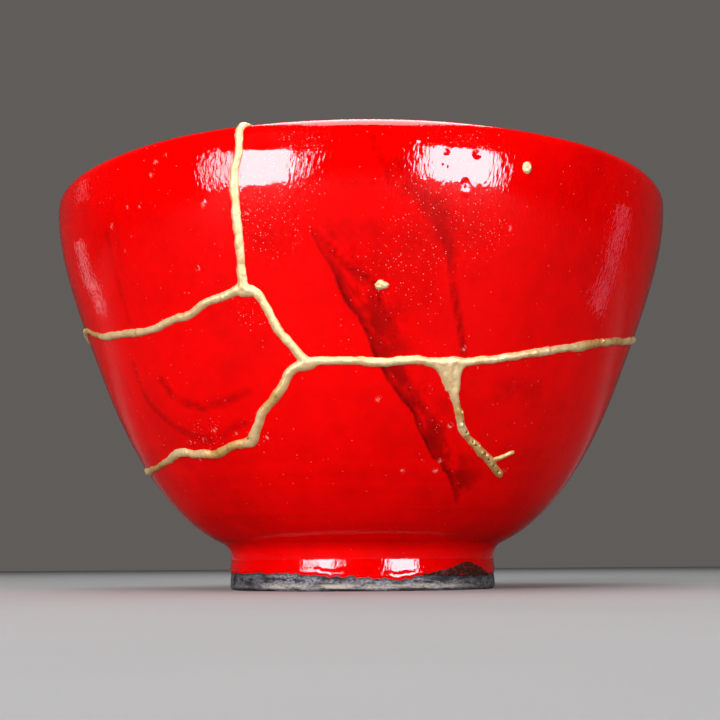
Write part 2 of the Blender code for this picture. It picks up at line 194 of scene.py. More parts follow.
def footLine():
    corner = (foot["neckRadius"] + foot["flare"], foot["height"])
    neck = (foot["neckRadius"], foot["height"] - foot["sweep"])
    points = bezier(corner, along(corner, bowl["undersideSlope"], -0.62 * foot["flare"]),
                    (neck[0], neck[1] + 0.55 * foot["sweep"]), neck, 14)
    edge, inner = foot["edge"], foot["radius"] - foot["ringWidth"]
    rows = int((neck[1] - edge) / foot["rowGap"])
    points += [tuple(np.array(neck) + (np.array((foot["radius"], edge)) - neck) * k / rows) for k in range(1, rows + 1)]
    bevel = (foot["radius"] - edge, 0.0)
    points += bezier(points[-1], (foot["radius"], 0.55 * edge), (bevel[0] + 0.55 * edge, 0.0), bevel, 5)
    points += [(bevel[0] + (inner + edge - bevel[0]) * k / 10, 0.0) for k in range(1, 11)]
    points += bezier(points[-1], (inner + 0.45 * edge, 0.0), (inner, 0.45 * edge), (inner, edge), 4)
    depth, roundness = foot["recessDepth"], foot["recessRound"]
    points += [(inner - 0.4 * roundness * k / 8, edge + (depth - roundness - edge) * k / 8) for k in range(1, 9)]
    points += bezier(points[-1], (inner - 0.6 * roundness, depth - 0.4 * roundness),
                     (inner - 0.9 * roundness, depth), (inner - 1.4 * roundness, depth), 6)
    start = points[-1]
    points += [(start[0] * (1 - k / 12), depth) for k in range(1, 13)]
    return points


outside = np.array(outsideLine() + [(bowl["rimRadius"], bowl["height"])])
inside = np.array(insideLine() + [(bowl["rimRadius"] - bowl["lipThickness"], bowl["height"])])
outsideWay = np.gradient(outside, axis=0)
outsideWay /= np.linalg.norm(outsideWay, axis=1)[:, None]
insideWay = np.gradient(inside, axis=0)
insideWay /= np.linalg.norm(insideWay, axis=1)[:, None]


def inSpace(degrees, flat):
    angle = math.radians(degrees)
    return Vector((flat[0] * math.sin(angle), -flat[0] * math.cos(angle), flat[1]))


def outerPlace(degrees, height):
    radius = np.interp(height, outside[:, 1], outside[:, 0])
    way = [np.interp(height, outside[:, 1], outsideWay[:, k]) for k in (0, 1)]
    return inSpace(degrees, (radius, height)), inSpace(degrees, (way[1], -way[0])).normalized()


insideTurn = np.arctan2(inside[:, 0], 0.8 * bowl["height"] - inside[:, 1])  # seen from the breaks' focus


def innerPlace(degrees, height):
    radius = np.interp(height, outside[:, 1], outside[:, 0])
    turn = math.atan2(radius, 0.8 * bowl["height"] - height)
    flat = [np.interp(turn, insideTurn, inside[:, k]) for k in (0, 1)]
    way = [np.interp(turn, insideTurn, insideWay[:, k]) for k in (0, 1)]
    return inSpace(degrees, flat), inSpace(degrees, (-way[1], way[0])).normalized()


# The break lines: degrees round from the front and height as a share of the bowl's, then
# the gold's width along the line as pairs of degrees (or share, on the upright lines) and width

frontFork, middleFork, hairlineFork = (-20.6, 0.655), (-10.3, 0.493), (16.7, 0.495)
twigFork, backFork, lowBackFork = (32.1, 0.291), (-136.0, 0.585), (-161.0, 0.385)

breaks = {
    "frontRim": {
        "line": [frontFork, (-20.3, 0.71), (-20.1, 0.77), (-20.0, 0.84), (-19.6, 0.893), (-18.8, 0.936),
                 (-18.8, 0.9707)],
        "width": 1.65 * mm, "parts": True, "overLip": True,
    },
    "diagonal": {
        "line": [frontFork, (-18.1, 0.639), (-16.8, 0.612), (-15.8, 0.578), (-13.4, 0.537), middleFork],
        "width": 1.6 * mm, "parts": True,
    },
    "upperLeft": {
        "line": [frontFork, (-24.6, 0.64), (-28.8, 0.629), (-32.9, 0.612), (-37.3, 0.605), (-42.0, 0.595),
                 (-48.0, 0.595), (-55.2, 0.604), (-61.5, 0.609), (-68.0, 0.628), (-76.0, 0.653),
                 (-84.0, 0.66), (-93.0, 0.646), (-102.0, 0.654), (-111.0, 0.632), (-119.0, 0.624),
                 (-127.0, 0.601), backFork],
        "width": 1.45 * mm, "parts": True,
    },
    "right": {
        "line": [middleFork, (-8.0, 0.496), (-2.5, 0.495), (3.5, 0.492), (10.0, 0.497), hairlineFork,
                 (22.9, 0.501), (28.4, 0.511), (34.0, 0.524), (40.5, 0.54), (47.0, 0.555), (53.5, 0.572),
                 (62.5, 0.591), (72.0, 0.61), (81.5, 0.632), (90.0, 0.646), (99.0, 0.64), (108.0, 0.616),
                 (117.0, 0.602), (126.0, 0.572), (135.0, 0.556), (144.0, 0.53), (153.0, 0.502),
                 (162.0, 0.486), (171.0, 0.452), (180.0, 0.432), (189.0, 0.408), (199.0, 0.385)],
        "width": 1.5 * mm, "parts": True,
    },
    "lowerLeft": {
        "line": [middleFork, (-13.4, 0.478), (-15.4, 0.449), (-17.8, 0.423), (-20.8, 0.397),
                 (-22.8, 0.366), (-25.4, 0.334), (-29.5, 0.331), (-35.9, 0.314), (-41.8, 0.316),
                 (-48.3, 0.324), (-55.5, 0.31), (-65.2, 0.3), (-74.5, 0.297), (-83.7, 0.303),
                 (-93.0, 0.311), (-102.0, 0.302), (-112.0, 0.324), (-122.0, 0.331), (-132.0, 0.349),
                 (-142.0, 0.346), (-152.0, 0.369), lowBackFork],
        "width": 1.65 * mm, "parts": True,
    },
    "backRim": {
        "line": [backFork, (-137.6, 0.64), (-136.6, 0.705), (-138.8, 0.77), (-140.6, 0.84),
                 (-141.0, 0.89), (-142.4, 0.936), (-142.4, 0.9707)],
        "width": 1.6 * mm, "parts": True, "overLip": True,
    },
    "back": {
        "line": [backFork, (-141.0, 0.545), (-147.0, 0.512), (-151.5, 0.462), (-157.5, 0.428), lowBackFork],
        "width": 1.55 * mm, "parts": True,
    },
    "hairline": {
        "line": [hairlineFork, (17.6, 0.46), (18.9, 0.425), (20.8, 0.388), (21.9, 0.362), (27.0, 0.321),
                 twigFork, (37.6, 0.26)],
        "width": 1.5 * mm, "parts": True,
    },
    "twig": {
        "line": [twigFork, (35.3, 0.304), (38.3, 0.315)],
        "width": 1.1 * mm, "parts": False,
    },
}

joint = {
    "gap": 0.5 * mm,
    "webThickness": 0.34 * mm,
    "reach": 3.0 * mm,
    "spacing": 0.35 * mm,
    "wander": 0.16 * mm,
}


# One smooth line through the points, a little unsteady, as (degrees, height) pairs

def smoothLine(line, seed):
    scale = math.radians(1) * 50 * mm
    knots = np.array([(degrees * scale, share * bowl["height"]) for degrees, share in line])
    steps = np.linalg.norm(np.diff(knots, axis=0), axis=1)
    t = np.concatenate([[0], np.cumsum(steps)])
    slopes = np.gradient(knots, t, axis=0, edge_order=1)
    count = max(4, int(t[-1] / joint["spacing"]))
    made = []
    for u in np.linspace(0, t[-1], count + 1):
        k = min(int(np.searchsorted(t, u, side="right")) - 1, len(t) - 2)
        h = t[k + 1] - t[k]
        s = (u - t[k]) / h
        place = ((2 * s**3 - 3 * s**2 + 1) * knots[k] + (s**3 - 2 * s**2 + s) * h * slopes[k]
                 + (3 * s**2 - 2 * s**3) * knots[k + 1] + (s**3 - s**2) * h * slopes[k + 1])
        calm = min(1.0, u / (3 * mm), (t[-1] - u) / (3 * mm))
        for axis in (0, 1):
            drift = noise.noise(Vector((u / (2.4 * mm), seed * 7.3 + axis * 3.1, 0.5)))
            fine = noise.noise(Vector((u / (0.9 * mm), seed * 5.1 + axis * 2.7, 4.5)))
            place[axis] += calm * joint["wander"] * (drift + 0.45 * fine)
        made.append((place[0] / scale, place[1]))
    return made


for seed, (name, one) in enumerate(breaks.items()):
    one["places"] = smoothLine(one["line"], seed)
    one["outer"] = [outerPlace(*place) for place in one["places"]]
    one["inner"] = [innerPlace(*place) for place in one["places"]]
print("break lines:", sum(len(one["places"]) for one in breaks.values()), "points")


# A curved sheet along a break, square through the wall, from which the joints are cut

def breakSheet(name, one, reach, thickness, pastEnd, aboveLip=0.0):
    every = 2
    rows = list(range(0, len(one["places"]) - 1, every)) + [len(one["places"]) - 1]
    pairs = []
    for k in rows:
        outer, inner = one["outer"][k][0], one["inner"][k][0]
        ray = (outer - inner).normalized()
        pairs.append([inner - ray * reach, outer + ray * reach])
    for end, other in ((0, 1), (-1, -2)):
        for side in (0, 1):
            way = (pairs[end][side] - pairs[other][side]).normalized()
            pairs[end][side] = pairs[end][side] + way * pastEnd
    if aboveLip:
        pairs.append([point + Vector((0, 0, aboveLip)) for point in pairs[-1]])
    deselectAll()
    count = len(pairs) - 1
    bpy.ops.mesh.primitive_grid_add(x_subdivisions=count, y_subdivisions=1, size=2.0)
    sheet = bpy.context.object
    sheet.name = name
    for vert in sheet.data.vertices:
        row = round((vert.co.x + 1) / 2 * count)
        vert.co = pairs[row][0 if vert.co.y < 0 else 1]
    return applyModifier(sheet, "SOLIDIFY", thickness=thickness, offset=0.0, use_even_offset=True)


# The turned bowl

def turnedWall(name, line, steps):
    deselectAll()
    bpy.ops.mesh.primitive_plane_add(size=1 * mm)
    wall = bpy.context.object
    wall.name = name
    bpy.ops.object.mode_set(mode="EDIT")
    bpy.ops.mesh.select_all(action="SELECT")
    bpy.ops.mesh.merge(type="CENTER")
    bpy.ops.transform.translate(value=(line[0][0], 0, line[0][1]))
    for a, b in zip(line, line[1:]):
        bpy.ops.mesh.extrude_region_move(TRANSFORM_OT_translate={"value": (b[0] - a[0], 0, b[1] - a[1])})
    bpy.ops.mesh.select_all(action="SELECT")
    bpy.ops.mesh.spin(steps=steps, angle=2 * math.pi, center=(0, 0, 0), axis=(0, 0, 1))
    bpy.ops.mesh.select_all(action="SELECT")
    bpy.ops.mesh.remove_doubles(threshold=0.002 * mm)
    bpy.ops.mesh.normals_make_consistent(inside=False)
    bpy.ops.object.mode_set(mode="OBJECT")
    return wall


wholeLine = insideLine() + lipLine() + outsideLine()[::-1] + footLine()
wall = turnedWall("turnedBowl", wholeLine, bowl["turnSteps"])
print("turned bowl:", len(wall.data.polygons), "faces")

cutters = bpy.data.collections.new("cutters")
bpy.context.scene.collection.children.link(cutters)
for name, one in breaks.items():
    if one["parts"]:
        above = 8 * mm if one.get("overLip") else 0.0
        sheet = breakSheet("cut_" + name, one, joint["reach"], joint["gap"], 0.3 * mm, above)
        for home in list(sheet.users_collection):
            home.objects.unlink(sheet)
        cutters.objects.link(sheet)
applyModifier(wall, "BOOLEAN", operation="DIFFERENCE", solver="EXACT", operand_type="COLLECTION", collection=cutters)
for sheet in list(cutters.objects):
    bpy.data.objects.remove(sheet)
bpy.data.collections.remove(cutters)

makeActive(wall)
bpy.ops.object.mode_set(mode="EDIT")
bpy.ops.mesh.select_all(action="SELECT")
bpy.ops.mesh.separate(type="LOOSE")
bpy.ops.object.mode_set(mode="OBJECT")
loose = list(bpy.context.selected_objects)
print("loose pieces:", len(loose), sorted(len(obj.data.vertices) for obj in loose))


# The sherds: each loose piece is known by a place well inside it

sherds = {
    "rimSherdLeft": {"node": "rim_sherd_left", "place": (-80.0, 0.82)},
    "rimSherdRight": {"node": "rim_sherd_right", "place": (60.0, 0.82)},
    "sideSherd": {"node": "side_sherd", "place": (-60.0, 0.45)},
    "footSherd": {"node": "foot_sherd", "place": (0.0, 0.25)},
}

for name, sherd in sherds.items():
    degrees, share = sherd["place"]
    spot = np.array(outerPlace(degrees, share * bowl["height"])[0])
    sherd["obj"] = min(loose, key=lambda obj: np.min(np.linalg.norm(readPoints(obj) - spot, axis=1)))
    sherd["obj"].name = sherd["obj"].data.name = name
    sherd["ideal"] = readPoints(sherd["obj"])


# Smoke drawn into the glaze by the firing: strokes as (degrees, height in mm), how wide and how dark

smoke = {
    "main": {
        "line": [(-7.8, 56.4), (-6.3, 53.5), (-5.0, 51.4), (-3.7, 48.0), (-2.2, 45.4), (-0.5, 43.6),
                 (0.8, 41.7), (2.1, 38.4), (4.0, 35.5), (6.2, 32.7), (8.8, 30.7), (10.6, 29.0),
                 (13.0, 25.6), (16.1, 22.4), (19.4, 20.7), (22.2, 18.8), (26.1, 15.6)],
        "left": 0.35, "right": 2.6, "dark": 1.0,
    },
    "branch": {
        "line": [(-6.6, 55.6), (-4.6, 53.8), (-2.9, 51.9), (-1.1, 50.7), (0.8, 50.1), (2.4, 48.9),
                 (3.2, 46.1), (4.4, 44.0), (5.7, 42.8), (6.3, 40.7)],
        "left": 0.65, "right": 0.65, "dark": 0.9,
    },
    "secondLine": {
        "line": [(5.1, 36.1), (7.4, 35.5), (10.6, 31.6), (13.0, 29.2), (16.3, 26.4), (18.9, 24.0)],
        "left": 0.6, "right": 0.8, "dark": 0.85,
    },
    "upper": {
        "line": [(5.9, 67.6), (7.2, 64.8), (9.2, 62.1), (11.5, 59.7), (13.3, 56.7), (14.7, 54.1)],
        "left": 1.0, "right": 1.4, "dark": 0.55,
    },
    "upperThin": {
        "line": [(14.7, 54.1), (15.4, 50.7), (16.5, 46.8), (17.8, 43.2), (19.3, 39.2), (19.8, 37.4)],
        "left": 0.5, "right": 0.7, "dark": 0.75,
    },
    "upperCloud": {"line": [(10.3, 62.3), (12.8, 60.9), (14.1, 58.3)], "left": 1.6, "right": 1.6, "dark": 0.5},
    "edgeCloud": {"line": [(1.9, 71.5), (3.1, 67.9), (4.9, 64.0), (6.6, 62.6)], "left": 0.8, "right": 0.8, "dark": 0.5},
    "edgeMark": {"line": [(-2.8, 64.2), (1.9, 64.1)], "left": 0.5, "right": 0.5, "dark": 0.4},
    "faintTop": {"line": [(-2.3, 56.2), (2.9, 57.6), (8.9, 56.3)], "left": 1.6, "right": 1.6, "dark": 0.2},
    "farLeft": {
        "line": [(-49.0, 61.9), (-49.0, 56.7), (-49.3, 51.7), (-49.3, 46.6)],
        "left": 0.6, "right": 0.6, "dark": 0.42,
    },
    "arcLow": {
        "line": [(-53.4, 39.6), (-53.4, 36.3), (-51.9, 32.7), (-48.8, 30.1), (-44.7, 27.9), (-40.4, 26.5),
                 (-36.1, 25.9)],
        "left": 0.55, "right": 0.75, "dark": 0.58,
    },
    "arcHigh": {
        "line": [(-45.0, 36.3), (-42.9, 33.6), (-39.7, 31.9), (-35.3, 31.0), (-29.9, 31.6), (-26.3, 32.2),
                 (-22.9, 32.8)],
        "left": 0.6, "right": 0.8, "dark": 0.58,
    },
    "arcShort": {"line": [(-32.7, 26.3), (-28.8, 27.4), (-25.4, 28.3)], "left": 0.6, "right": 0.6, "dark": 0.5},
    "rightBlots": {"line": [(30.0, 33.0), (33.0, 34.5), (38.0, 33.5)], "left": 1.6, "right": 1.6, "dark": 0.26},
    "backLong": {
        "line": [(150.0, 68.0), (154.0, 60.0), (160.0, 52.0), (163.0, 44.0), (171.0, 36.0), (176.0, 27.0)],
        "left": 0.6, "right": 2.4, "dark": 0.8,
    },
    "sideCurl": {
        "line": [(96.0, 36.0), (103.0, 32.0), (112.0, 30.0), (120.0, 32.0), (126.0, 37.0)],
        "left": 0.8, "right": 1.0, "dark": 0.5,
    },
    "backCurl": {
        "line": [(-96.0, 62.0), (-101.0, 57.0), (-109.0, 55.0), (-118.0, 57.5)],
        "left": 0.9, "right": 1.2, "dark": 0.45,
    },
}


# Each point's distance in mm to a smoke stroke's line, negative on the stroke's left, and how far past its ends

def strokeGap(points, stroke):
    angle = np.degrees(np.arctan2(points[:, 0], -points[:, 1]))
    line = np.array(stroke["line"])
    middle = line[:, 0].mean()
    angle = (angle - middle + 180) % 360 - 180
    radius = np.interp(line[:, 1].mean() * mm, outside[:, 1], outside[:, 0]) / mm
    x, z = np.radians(angle) * radius, points[:, 2] / mm
    knots = np.column_stack([np.radians(line[:, 0] - middle) * radius, line[:, 1]])
    best, side, past = np.full(len(points), 1e3), np.zeros(len(points)), np.zeros(len(points))
    for k, (a, b) in enumerate(zip(knots, knots[1:])):
        way = b - a
        dx, dz = x - a[0], z - a[1]
        share = (dx * way[0] + dz * way[1]) / (way @ way)
        t = np.clip(share, 0, 1)
        gap = np.hypot(dx - t * way[0], dz - t * way[1])
        near = gap < best
        best[near] = gap[near]
        side[near] = (way[0] * dz - way[1] * dx)[near]
        over = np.where(share < 0, -share * (k == 0), (share - 1) * (k == len(knots) - 2)) * np.hypot(*way)
        past[near] = np.maximum(over, 0)[near]
    return np.where(side > 0, best, -best), past


# The main stroke as a signed distance, and the fainter ones as one distance and darkness

def writeSmoke(obj, points, isOutside):
    main, past = strokeGap(points, smoke["main"])
    writeField(obj, "smokeMain", np.where(isOutside, np.clip(main, -9, 9), -9.0))
    writeField(obj, "smokeReach", np.clip(1 - past / 1.6, 0, 1))
    nearest, weights, darks = np.full(len(points), 4.0), np.full(len(points), 1e-6), np.zeros(len(points))
    for name, stroke in smoke.items():
        if name == "main":
            continue
        gap = strokeGap(points, stroke)[0]
        share = np.abs(gap) / np.where(gap > 0, stroke["right"], stroke["left"])
        nearest = np.minimum(nearest, share)
        weight = np.exp(-2.5 * share)
        weights += weight
        darks += weight * stroke["dark"]
    writeField(obj, "smokeFaint", np.where(isOutside, nearest, 4.0))
    writeField(obj, "smokeDark", darks / weights)


# The foot's glaze line: degrees and height in mm, and the scorched hump at its right

glazeLine = [(-180, 3.0), (-150, 3.6), (-120, 2.7), (-95, 3.3), (-64, 3.2), (-46, 3.2), (-26, 3.1), (-13, 2.6),
             (-7.5, 2.5), (3, 2.3), (15, 1.9), (23.5, 2.6), (33, 2.6), (47, 2.4), (67, 2.7), (90, 3.4),
             (120, 2.8), (150, 3.5), (180, 3.0)]
scorchLine = [(-180, -2), (15, -2), (21, 1.5), (25.7, 3.2), (33, 3.5), (39, 4.0), (47, 5.3), (57, 4.4),
              (67, 2.7), (76, -2), (180, -2)]


def lineHeight(points, line):
    angle = np.degrees(np.arctan2(points[:, 0], -points[:, 1]))
    knots = np.array(line, dtype=float)
    return np.interp(angle, knots[:, 0], knots[:, 1]) * mm


def roughness(points, scale, seed):
    return np.array([noise.noise(Vector(p) / scale + Vector((seed, 0, 0))) for p in points])


# Throwing rings, the glaze's raised edge and the rough clay, by small vertex moves

def shapeSherd(sherd):
    points = sherd["ideal"].copy()
    radius = np.hypot(points[:, 0], points[:, 1])
    outer = np.interp(points[:, 2], outside[:, 1], outside[:, 0])
    high = points[:, 2] > foot["height"]
    isOutside = np.where(high, radius > outer - 2.2 * mm, radius > foot["radius"] - 1.2 * mm)
    isFoot = (points[:, 2] < foot["height"]) & (radius < foot["radius"] + 3 * mm)
    way = points * np.array([1, 1, 0]) / np.maximum(radius, 1e-6)[:, None]
    angle = np.arctan2(points[:, 0], -points[:, 1])

    ring = np.sin(points[:, 2] / (0.62 * mm) + 0.9 * np.sin(points[:, 2] / (2.7 * mm)) + 0.35 * angle)
    calm = smoothStep(52 * mm, 26 * mm, points[:, 2]) * smoothStep(9.5 * mm, 12 * mm, points[:, 2])
    move = np.where(isOutside, 0.012 * mm * ring * calm, 0.0)
    inner = (~isOutside) & (points[:, 2] > 12 * mm)
    spiral = np.sin(points[:, 2] / (0.9 * mm) + angle)
    move = move + np.where(inner, 0.03 * mm * spiral * smoothStep(70 * mm, 60 * mm, points[:, 2]), 0.0)

    edge = points[:, 2] - lineHeight(points, glazeLine)
    near = np.where(isFoot)[0]
    ragged = np.zeros(len(points))
    ragged[near] = 0.35 * mm * roughness(points[near], 1.1 * mm, 3.0) + 0.2 * mm * roughness(points[near], 0.4 * mm, 8.0)
    edge = edge + ragged
    under = isFoot & ~isOutside
    edge = np.where(under, -2 * mm, edge)
    coat = smoothStep(-0.05 * mm, 0.3 * mm, edge) * (1 - 0.35 * smoothStep(0.5 * mm, 2.0 * mm, edge))
    move = move + np.where(isFoot & isOutside, 0.26 * mm * coat * smoothStep(9 * mm, 6 * mm, points[:, 2]), 0.0)

    grit = np.zeros(len(points))
    grit[near] = (0.10 * roughness(points[near], 1.3 * mm, 11.0) + 0.07 * roughness(points[near], 0.5 * mm, 17.0)) * mm
    bare = isFoot & (edge < 0)
    move = move + np.where(bare & (points[:, 2] > 0.3 * mm) & isOutside, grit, 0.0)
    points = points + way * move[:, None]
    lift = np.where(under & (points[:, 2] > 1.5 * mm), 1.6 * grit, 0.0)
    points[:, 2] += lift

    sherd["shaped"] = points
    writeSmoke(sherd["obj"], sherd["ideal"], isOutside & high)
    writeField(sherd["obj"], "glazeEdge", np.where(isFoot, np.clip(edge / mm, -3, 3), 3.0))
    scorch = lineHeight(points, scorchLine) - points[:, 2] + ragged
    writeField(sherd["obj"], "scorch", np.where(isFoot & isOutside, np.clip(scorch / mm, -3, 3), -3.0))
    writeField(sherd["obj"], "inside", np.where(inner, 1.0, 0.0))


# A slight waver of the whole bowl, as a hand-turned one has: none at the foot, most at the lip

waver = {
    "oval": 0.22 * mm,
    "threeLobed": 0.12 * mm,
    "lipWave": 0.2 * mm,
    "frontDip": 0.36 * mm,
    "dipAt": math.radians(4),
    "dipSpread": math.radians(26),
}


def wavered(points):
    points = np.array(points)
    angle = np.arctan2(points[:, 0], -points[:, 1])
    share = np.clip(points[:, 2] / bowl["height"], 0, 1.1)
    radius = np.maximum(np.hypot(points[:, 0], points[:, 1]), 1e-6)
    more = share ** 1.6 * (waver["oval"] * np.cos(2 * (angle - 0.7)) + waver["threeLobed"] * np.cos(3 * angle + 1.1))
    points[:, :2] *= (1 + more / radius * np.clip(radius / (20 * mm), 0, 1))[:, None]
    wave = np.sin(2 * angle + 0.6) + 0.6 * np.sin(5 * angle + 2.0) + 0.35 * np.sin(9 * angle)
    dip = waver["frontDip"] * np.exp(-((angle - waver["dipAt"]) / waver["dipSpread"]) ** 2)
    points[:, 2] += share ** 5 * (waver["lipWave"] * (0.55 * wave - 0.6) - dip)
    return points


for name, sherd in sherds.items():
    shapeSherd(sherd)
    obj = sherd["obj"]
    writePoints(obj, wavered(sherd["shaped"]))
    makeActive(obj)
    bpy.ops.object.shade_smooth_by_angle(angle=math.radians(40))
    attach(obj, "root")
    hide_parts(sherd["node"])
print("sherds shaped:", {name: len(sherd["ideal"]) for name, sherd in sherds.items()})


# The gold: round beads sunk a third into the glaze, run together where they meet

gold = {
    "voxelOutside": (0.225 * mm),
    "voxelInside": (0.26 * mm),
    "lumpSize": 1.3 * mm,
    "lumpHeight": 0.2 * mm,
    "grainSize": 0.42 * mm,
    "grainHeight": 0.1 * mm,
    "fuller": [(-25.0, 25.4, 0.3, 1.6), (-20.6, 49.1, 0.12, 1.4), (-10.3, 37.0, 0.2, 1.6), (16.7, 37.1, 0.12, 2.0),
               (50.0, 42.2, 0.26, 3.5), (21.4, 29.8, 0.16, 0.8), (-18.9, 71.0, -0.12, 2.0), (-64.0, 22.6, -0.34, 7.0),
               (-72.0, 47.6, -0.3, 7.0), (25.5, 25.2, -0.1, 2.5), (20.2, 30.6, -0.2, 1.0), (22.6, 26.7, 0.14, 0.9), (24.2, 25.7, -0.14, 0.6),
               (28.6, 23.6, 0.1, 0.8), (45.0, 41.2, -0.12, 1.2)],
    "ribs": [
        [(12.2, 37.15), (14.0, 36.7), (15.6, 35.7), (16.7, 34.3), (17.6, 32.8)],
        [(14.4, 37.1), (15.9, 36.0), (17.0, 34.4), (17.8, 33.0)],
        [(15.8, 37.1), (16.9, 35.6), (17.7, 33.8), (18.2, 32.6)],
        [(17.2, 37.1), (17.8, 35.4), (18.3, 33.6)],
        [(18.8, 37.2), (18.5, 35.6), (18.7, 33.8), (18.9, 32.8)],
        [(20.4, 37.3), (19.4, 36.5), (18.9, 35.2), (19.1, 33.6), (19.2, 32.6)],
        [(-22.4, 48.9), (-20.8, 48.3), (-19.2, 48.2)],
        [(-12.0, 36.4), (-10.4, 36.4), (-8.6, 37.0)],
    ],
    "ribWidth": 1.35 * mm,
    "pits": [(21.0, 30.15, 0.34, 0.26), (25.4, 25.0, 0.36, 0.22), (26.3, 24.5, 0.3, 0.2), (29.6, 23.2, 0.32, 0.2),
             (31.0, 22.3, 0.34, 0.24), (35.1, 20.5, 0.34, 0.2), (-25.6, 25.8, 0.3, 0.15), (52.0, 42.4, 0.3, 0.15),
             (22.0, 28.1, 0.4, 0.18), (23.2, 26.5, 0.35, 0.18), (33.0, 21.4, 0.35, 0.2)],
    "knobs": [(21.4, 29.5, 0.55, 0.4), (21.6, 27.5, 0.5, 0.26), (23.9, 26.4, 0.5, 0.26), (25.0, 24.9, 0.3, 0.12),
              (27.6, 24.4, 0.45, 0.26), (28.6, 23.3, 0.4, 0.2), (30.4, 22.9, 0.4, 0.24), (32.2, 21.5, 0.4, 0.2),
              (34.0, 21.4, 0.4, 0.22), (36.0, 20.2, 0.4, 0.2), (50.4, 43.3, 0.65, 0.4), (55.3, 43.9, 0.65, 0.4)],
}


def beadCurve(name, frames, widths):
    curve = bpy.data.curves.new(name, "CURVE")
    curve.dimensions = "3D"
    curve.bevel_depth = 1 * mm
    curve.bevel_resolution = 4
    curve.use_fill_caps = True
    spline = curve.splines.new("POLY")
    spline.points.add(len(frames) - 1)
    for point, (place, normal), width in zip(spline.points, frames, widths):
        radius = width / 2 / 0.943
        point.co = (*(place - normal * radius / 3), 1.0)
        point.radius = radius / mm
    obj = bpy.data.objects.new(name, curve)
    bpy.context.scene.collection.objects.link(obj)
    makeActive(obj)
    bpy.ops.object.convert(target="MESH")
    return bpy.context.object


def beadWidths(one, frames, seed, freeEnds=(False, False)):
    lengths = [0.0]
    for (a, _), (b, _) in zip(frames, frames[1:]):
        lengths.append(lengths[-1] + (b - a).length)
    widths = []
    for (place, _), u in zip(frames, lengths):
        width = one["width"] * (1 + 0.16 * noise.noise(Vector((u / (3.1 * mm), seed * 3.7, 0.2)))
                                + 0.12 * noise.noise(Vector((u / (1.1 * mm), seed * 1.9, 6.2))))
        for degrees, height, more, spread in gold["fuller"]:
            gap = (place - outerPlace(degrees, height * mm)[0]).length
            width *= 1 + more * math.exp(-(gap / (spread * mm)) ** 2)
        for free, end in ((freeEnds[0], u), (freeEnds[1], lengths[-1] - u)):
            if free:
                width *= 0.45 + 0.55 * min(1.0, end / (1.1 * mm)) ** 0.5
        widths.append(width)
    return widths


# The bead's run over the lip, from the outer side to the inner side

def overLip(one):
    degrees = one["places"][-1][0]
    radius = bowl["lipThickness"] / 2
    centre = (bowl["rimRadius"] - radius, bowl["height"] - radius)
    frames = []
    for k in range(1, 20):
        angle = math.pi * k / 20
        lean = 0.9 * math.sin(angle / 2) ** 2
        normal = inSpace(degrees + lean, (math.cos(angle), math.sin(angle)))
        frames.append((inSpace(degrees + lean, along(centre, angle, radius)), normal))
    return frames


outerBeads, innerBeads, webs = [], [], []
for seed, (name, one) in enumerate(breaks.items()):
    frames = list(one["outer"])
    if one.get("overLip"):
        frames += overLip(one) + list(one["inner"])[::-1]
    free = (False, name in ("hairline", "twig"))
    outerBeads.append(beadCurve("bead_" + name, frames, beadWidths(one, frames, seed, free)))
    if one["parts"]:
        if not one.get("overLip"):
            widths = [0.95 * width for width in beadWidths(one, one["inner"], seed + 20, free)]
            innerBeads.append(beadCurve("innerBead_" + name, one["inner"], widths))
        webs.append(breakSheet("web_" + name, one, -0.15 * mm, joint["webThickness"], 0.05 * mm))
for k, line in enumerate(gold["ribs"]):
    points = [(degrees, height * mm / bowl["height"]) for degrees, height in line]
    frames = [outerPlace(*place) for place in smoothLine(points, 40 + k)]
    outerBeads.append(beadCurve("rib_%d" % k, frames, beadWidths({"width": gold["ribWidth"]}, frames, 40 + k)))

lumps = bpy.data.textures.new("goldLumps", "CLOUDS")
lumps.noise_scale = gold["lumpSize"]
lumps.noise_depth = 1
grains = bpy.data.textures.new("goldGrains", "CLOUDS")
grains.noise_scale = gold["grainSize"]
grains.noise_depth = 2


def runTogether(name, beads, voxel):
    obj = joinAll(name, beads)
    applyModifier(obj, "REMESH", mode="VOXEL", voxel_size=voxel, adaptivity=0.0)
    applyModifier(obj, "SMOOTH", factor=0.5, iterations=4)
    applyModifier(obj, "DISPLACE", texture=lumps, texture_coords="LOCAL", strength=gold["lumpHeight"], mid_level=0.5)
    applyModifier(obj, "DISPLACE", texture=grains, texture_coords="LOCAL", strength=gold["grainHeight"],
                  mid_level=0.5)
    return obj


# Small pits pressed into the gold, or knobs raised on it

def pressSpots(obj, spots, inward):
    points = readPoints(obj)
    for degrees, height, radius, depth in spots:
        place, normal = outerPlace(degrees, height * mm)
        place = np.array(place + normal * 0.5 * mm)
        gap = points - place
        rise = gap @ np.array(normal)
        flat = np.linalg.norm(gap - rise[:, None] * np.array(normal), axis=1) / (radius * mm)
        near = (flat < 1) & (rise > -0.6 * mm) & (rise < 1.2 * mm)
        push = np.where(near, (1 - np.minimum(flat, 1) ** 2) ** 2, 0.0) * depth * mm
        points = points + (-1 if inward else 1) * push[:, None] * np.array(normal)
    writePoints(obj, points)


goldOutside = runTogether("goldSeamsOutside", outerBeads, gold["voxelOutside"])
goldInside = runTogether("goldSeamsInside", innerBeads, gold["voxelInside"])
goldWebs = joinAll("goldInJoints", webs)
pressSpots(goldOutside, gold["knobs"], inward=False)
pressSpots(goldOutside, gold["pits"], inward=True)
print("gold:", len(goldOutside.data.polygons), len(goldInside.data.polygons), len(goldWebs.data.polygons), "faces")


# The two gold spots, each a small uneven blob with a dent

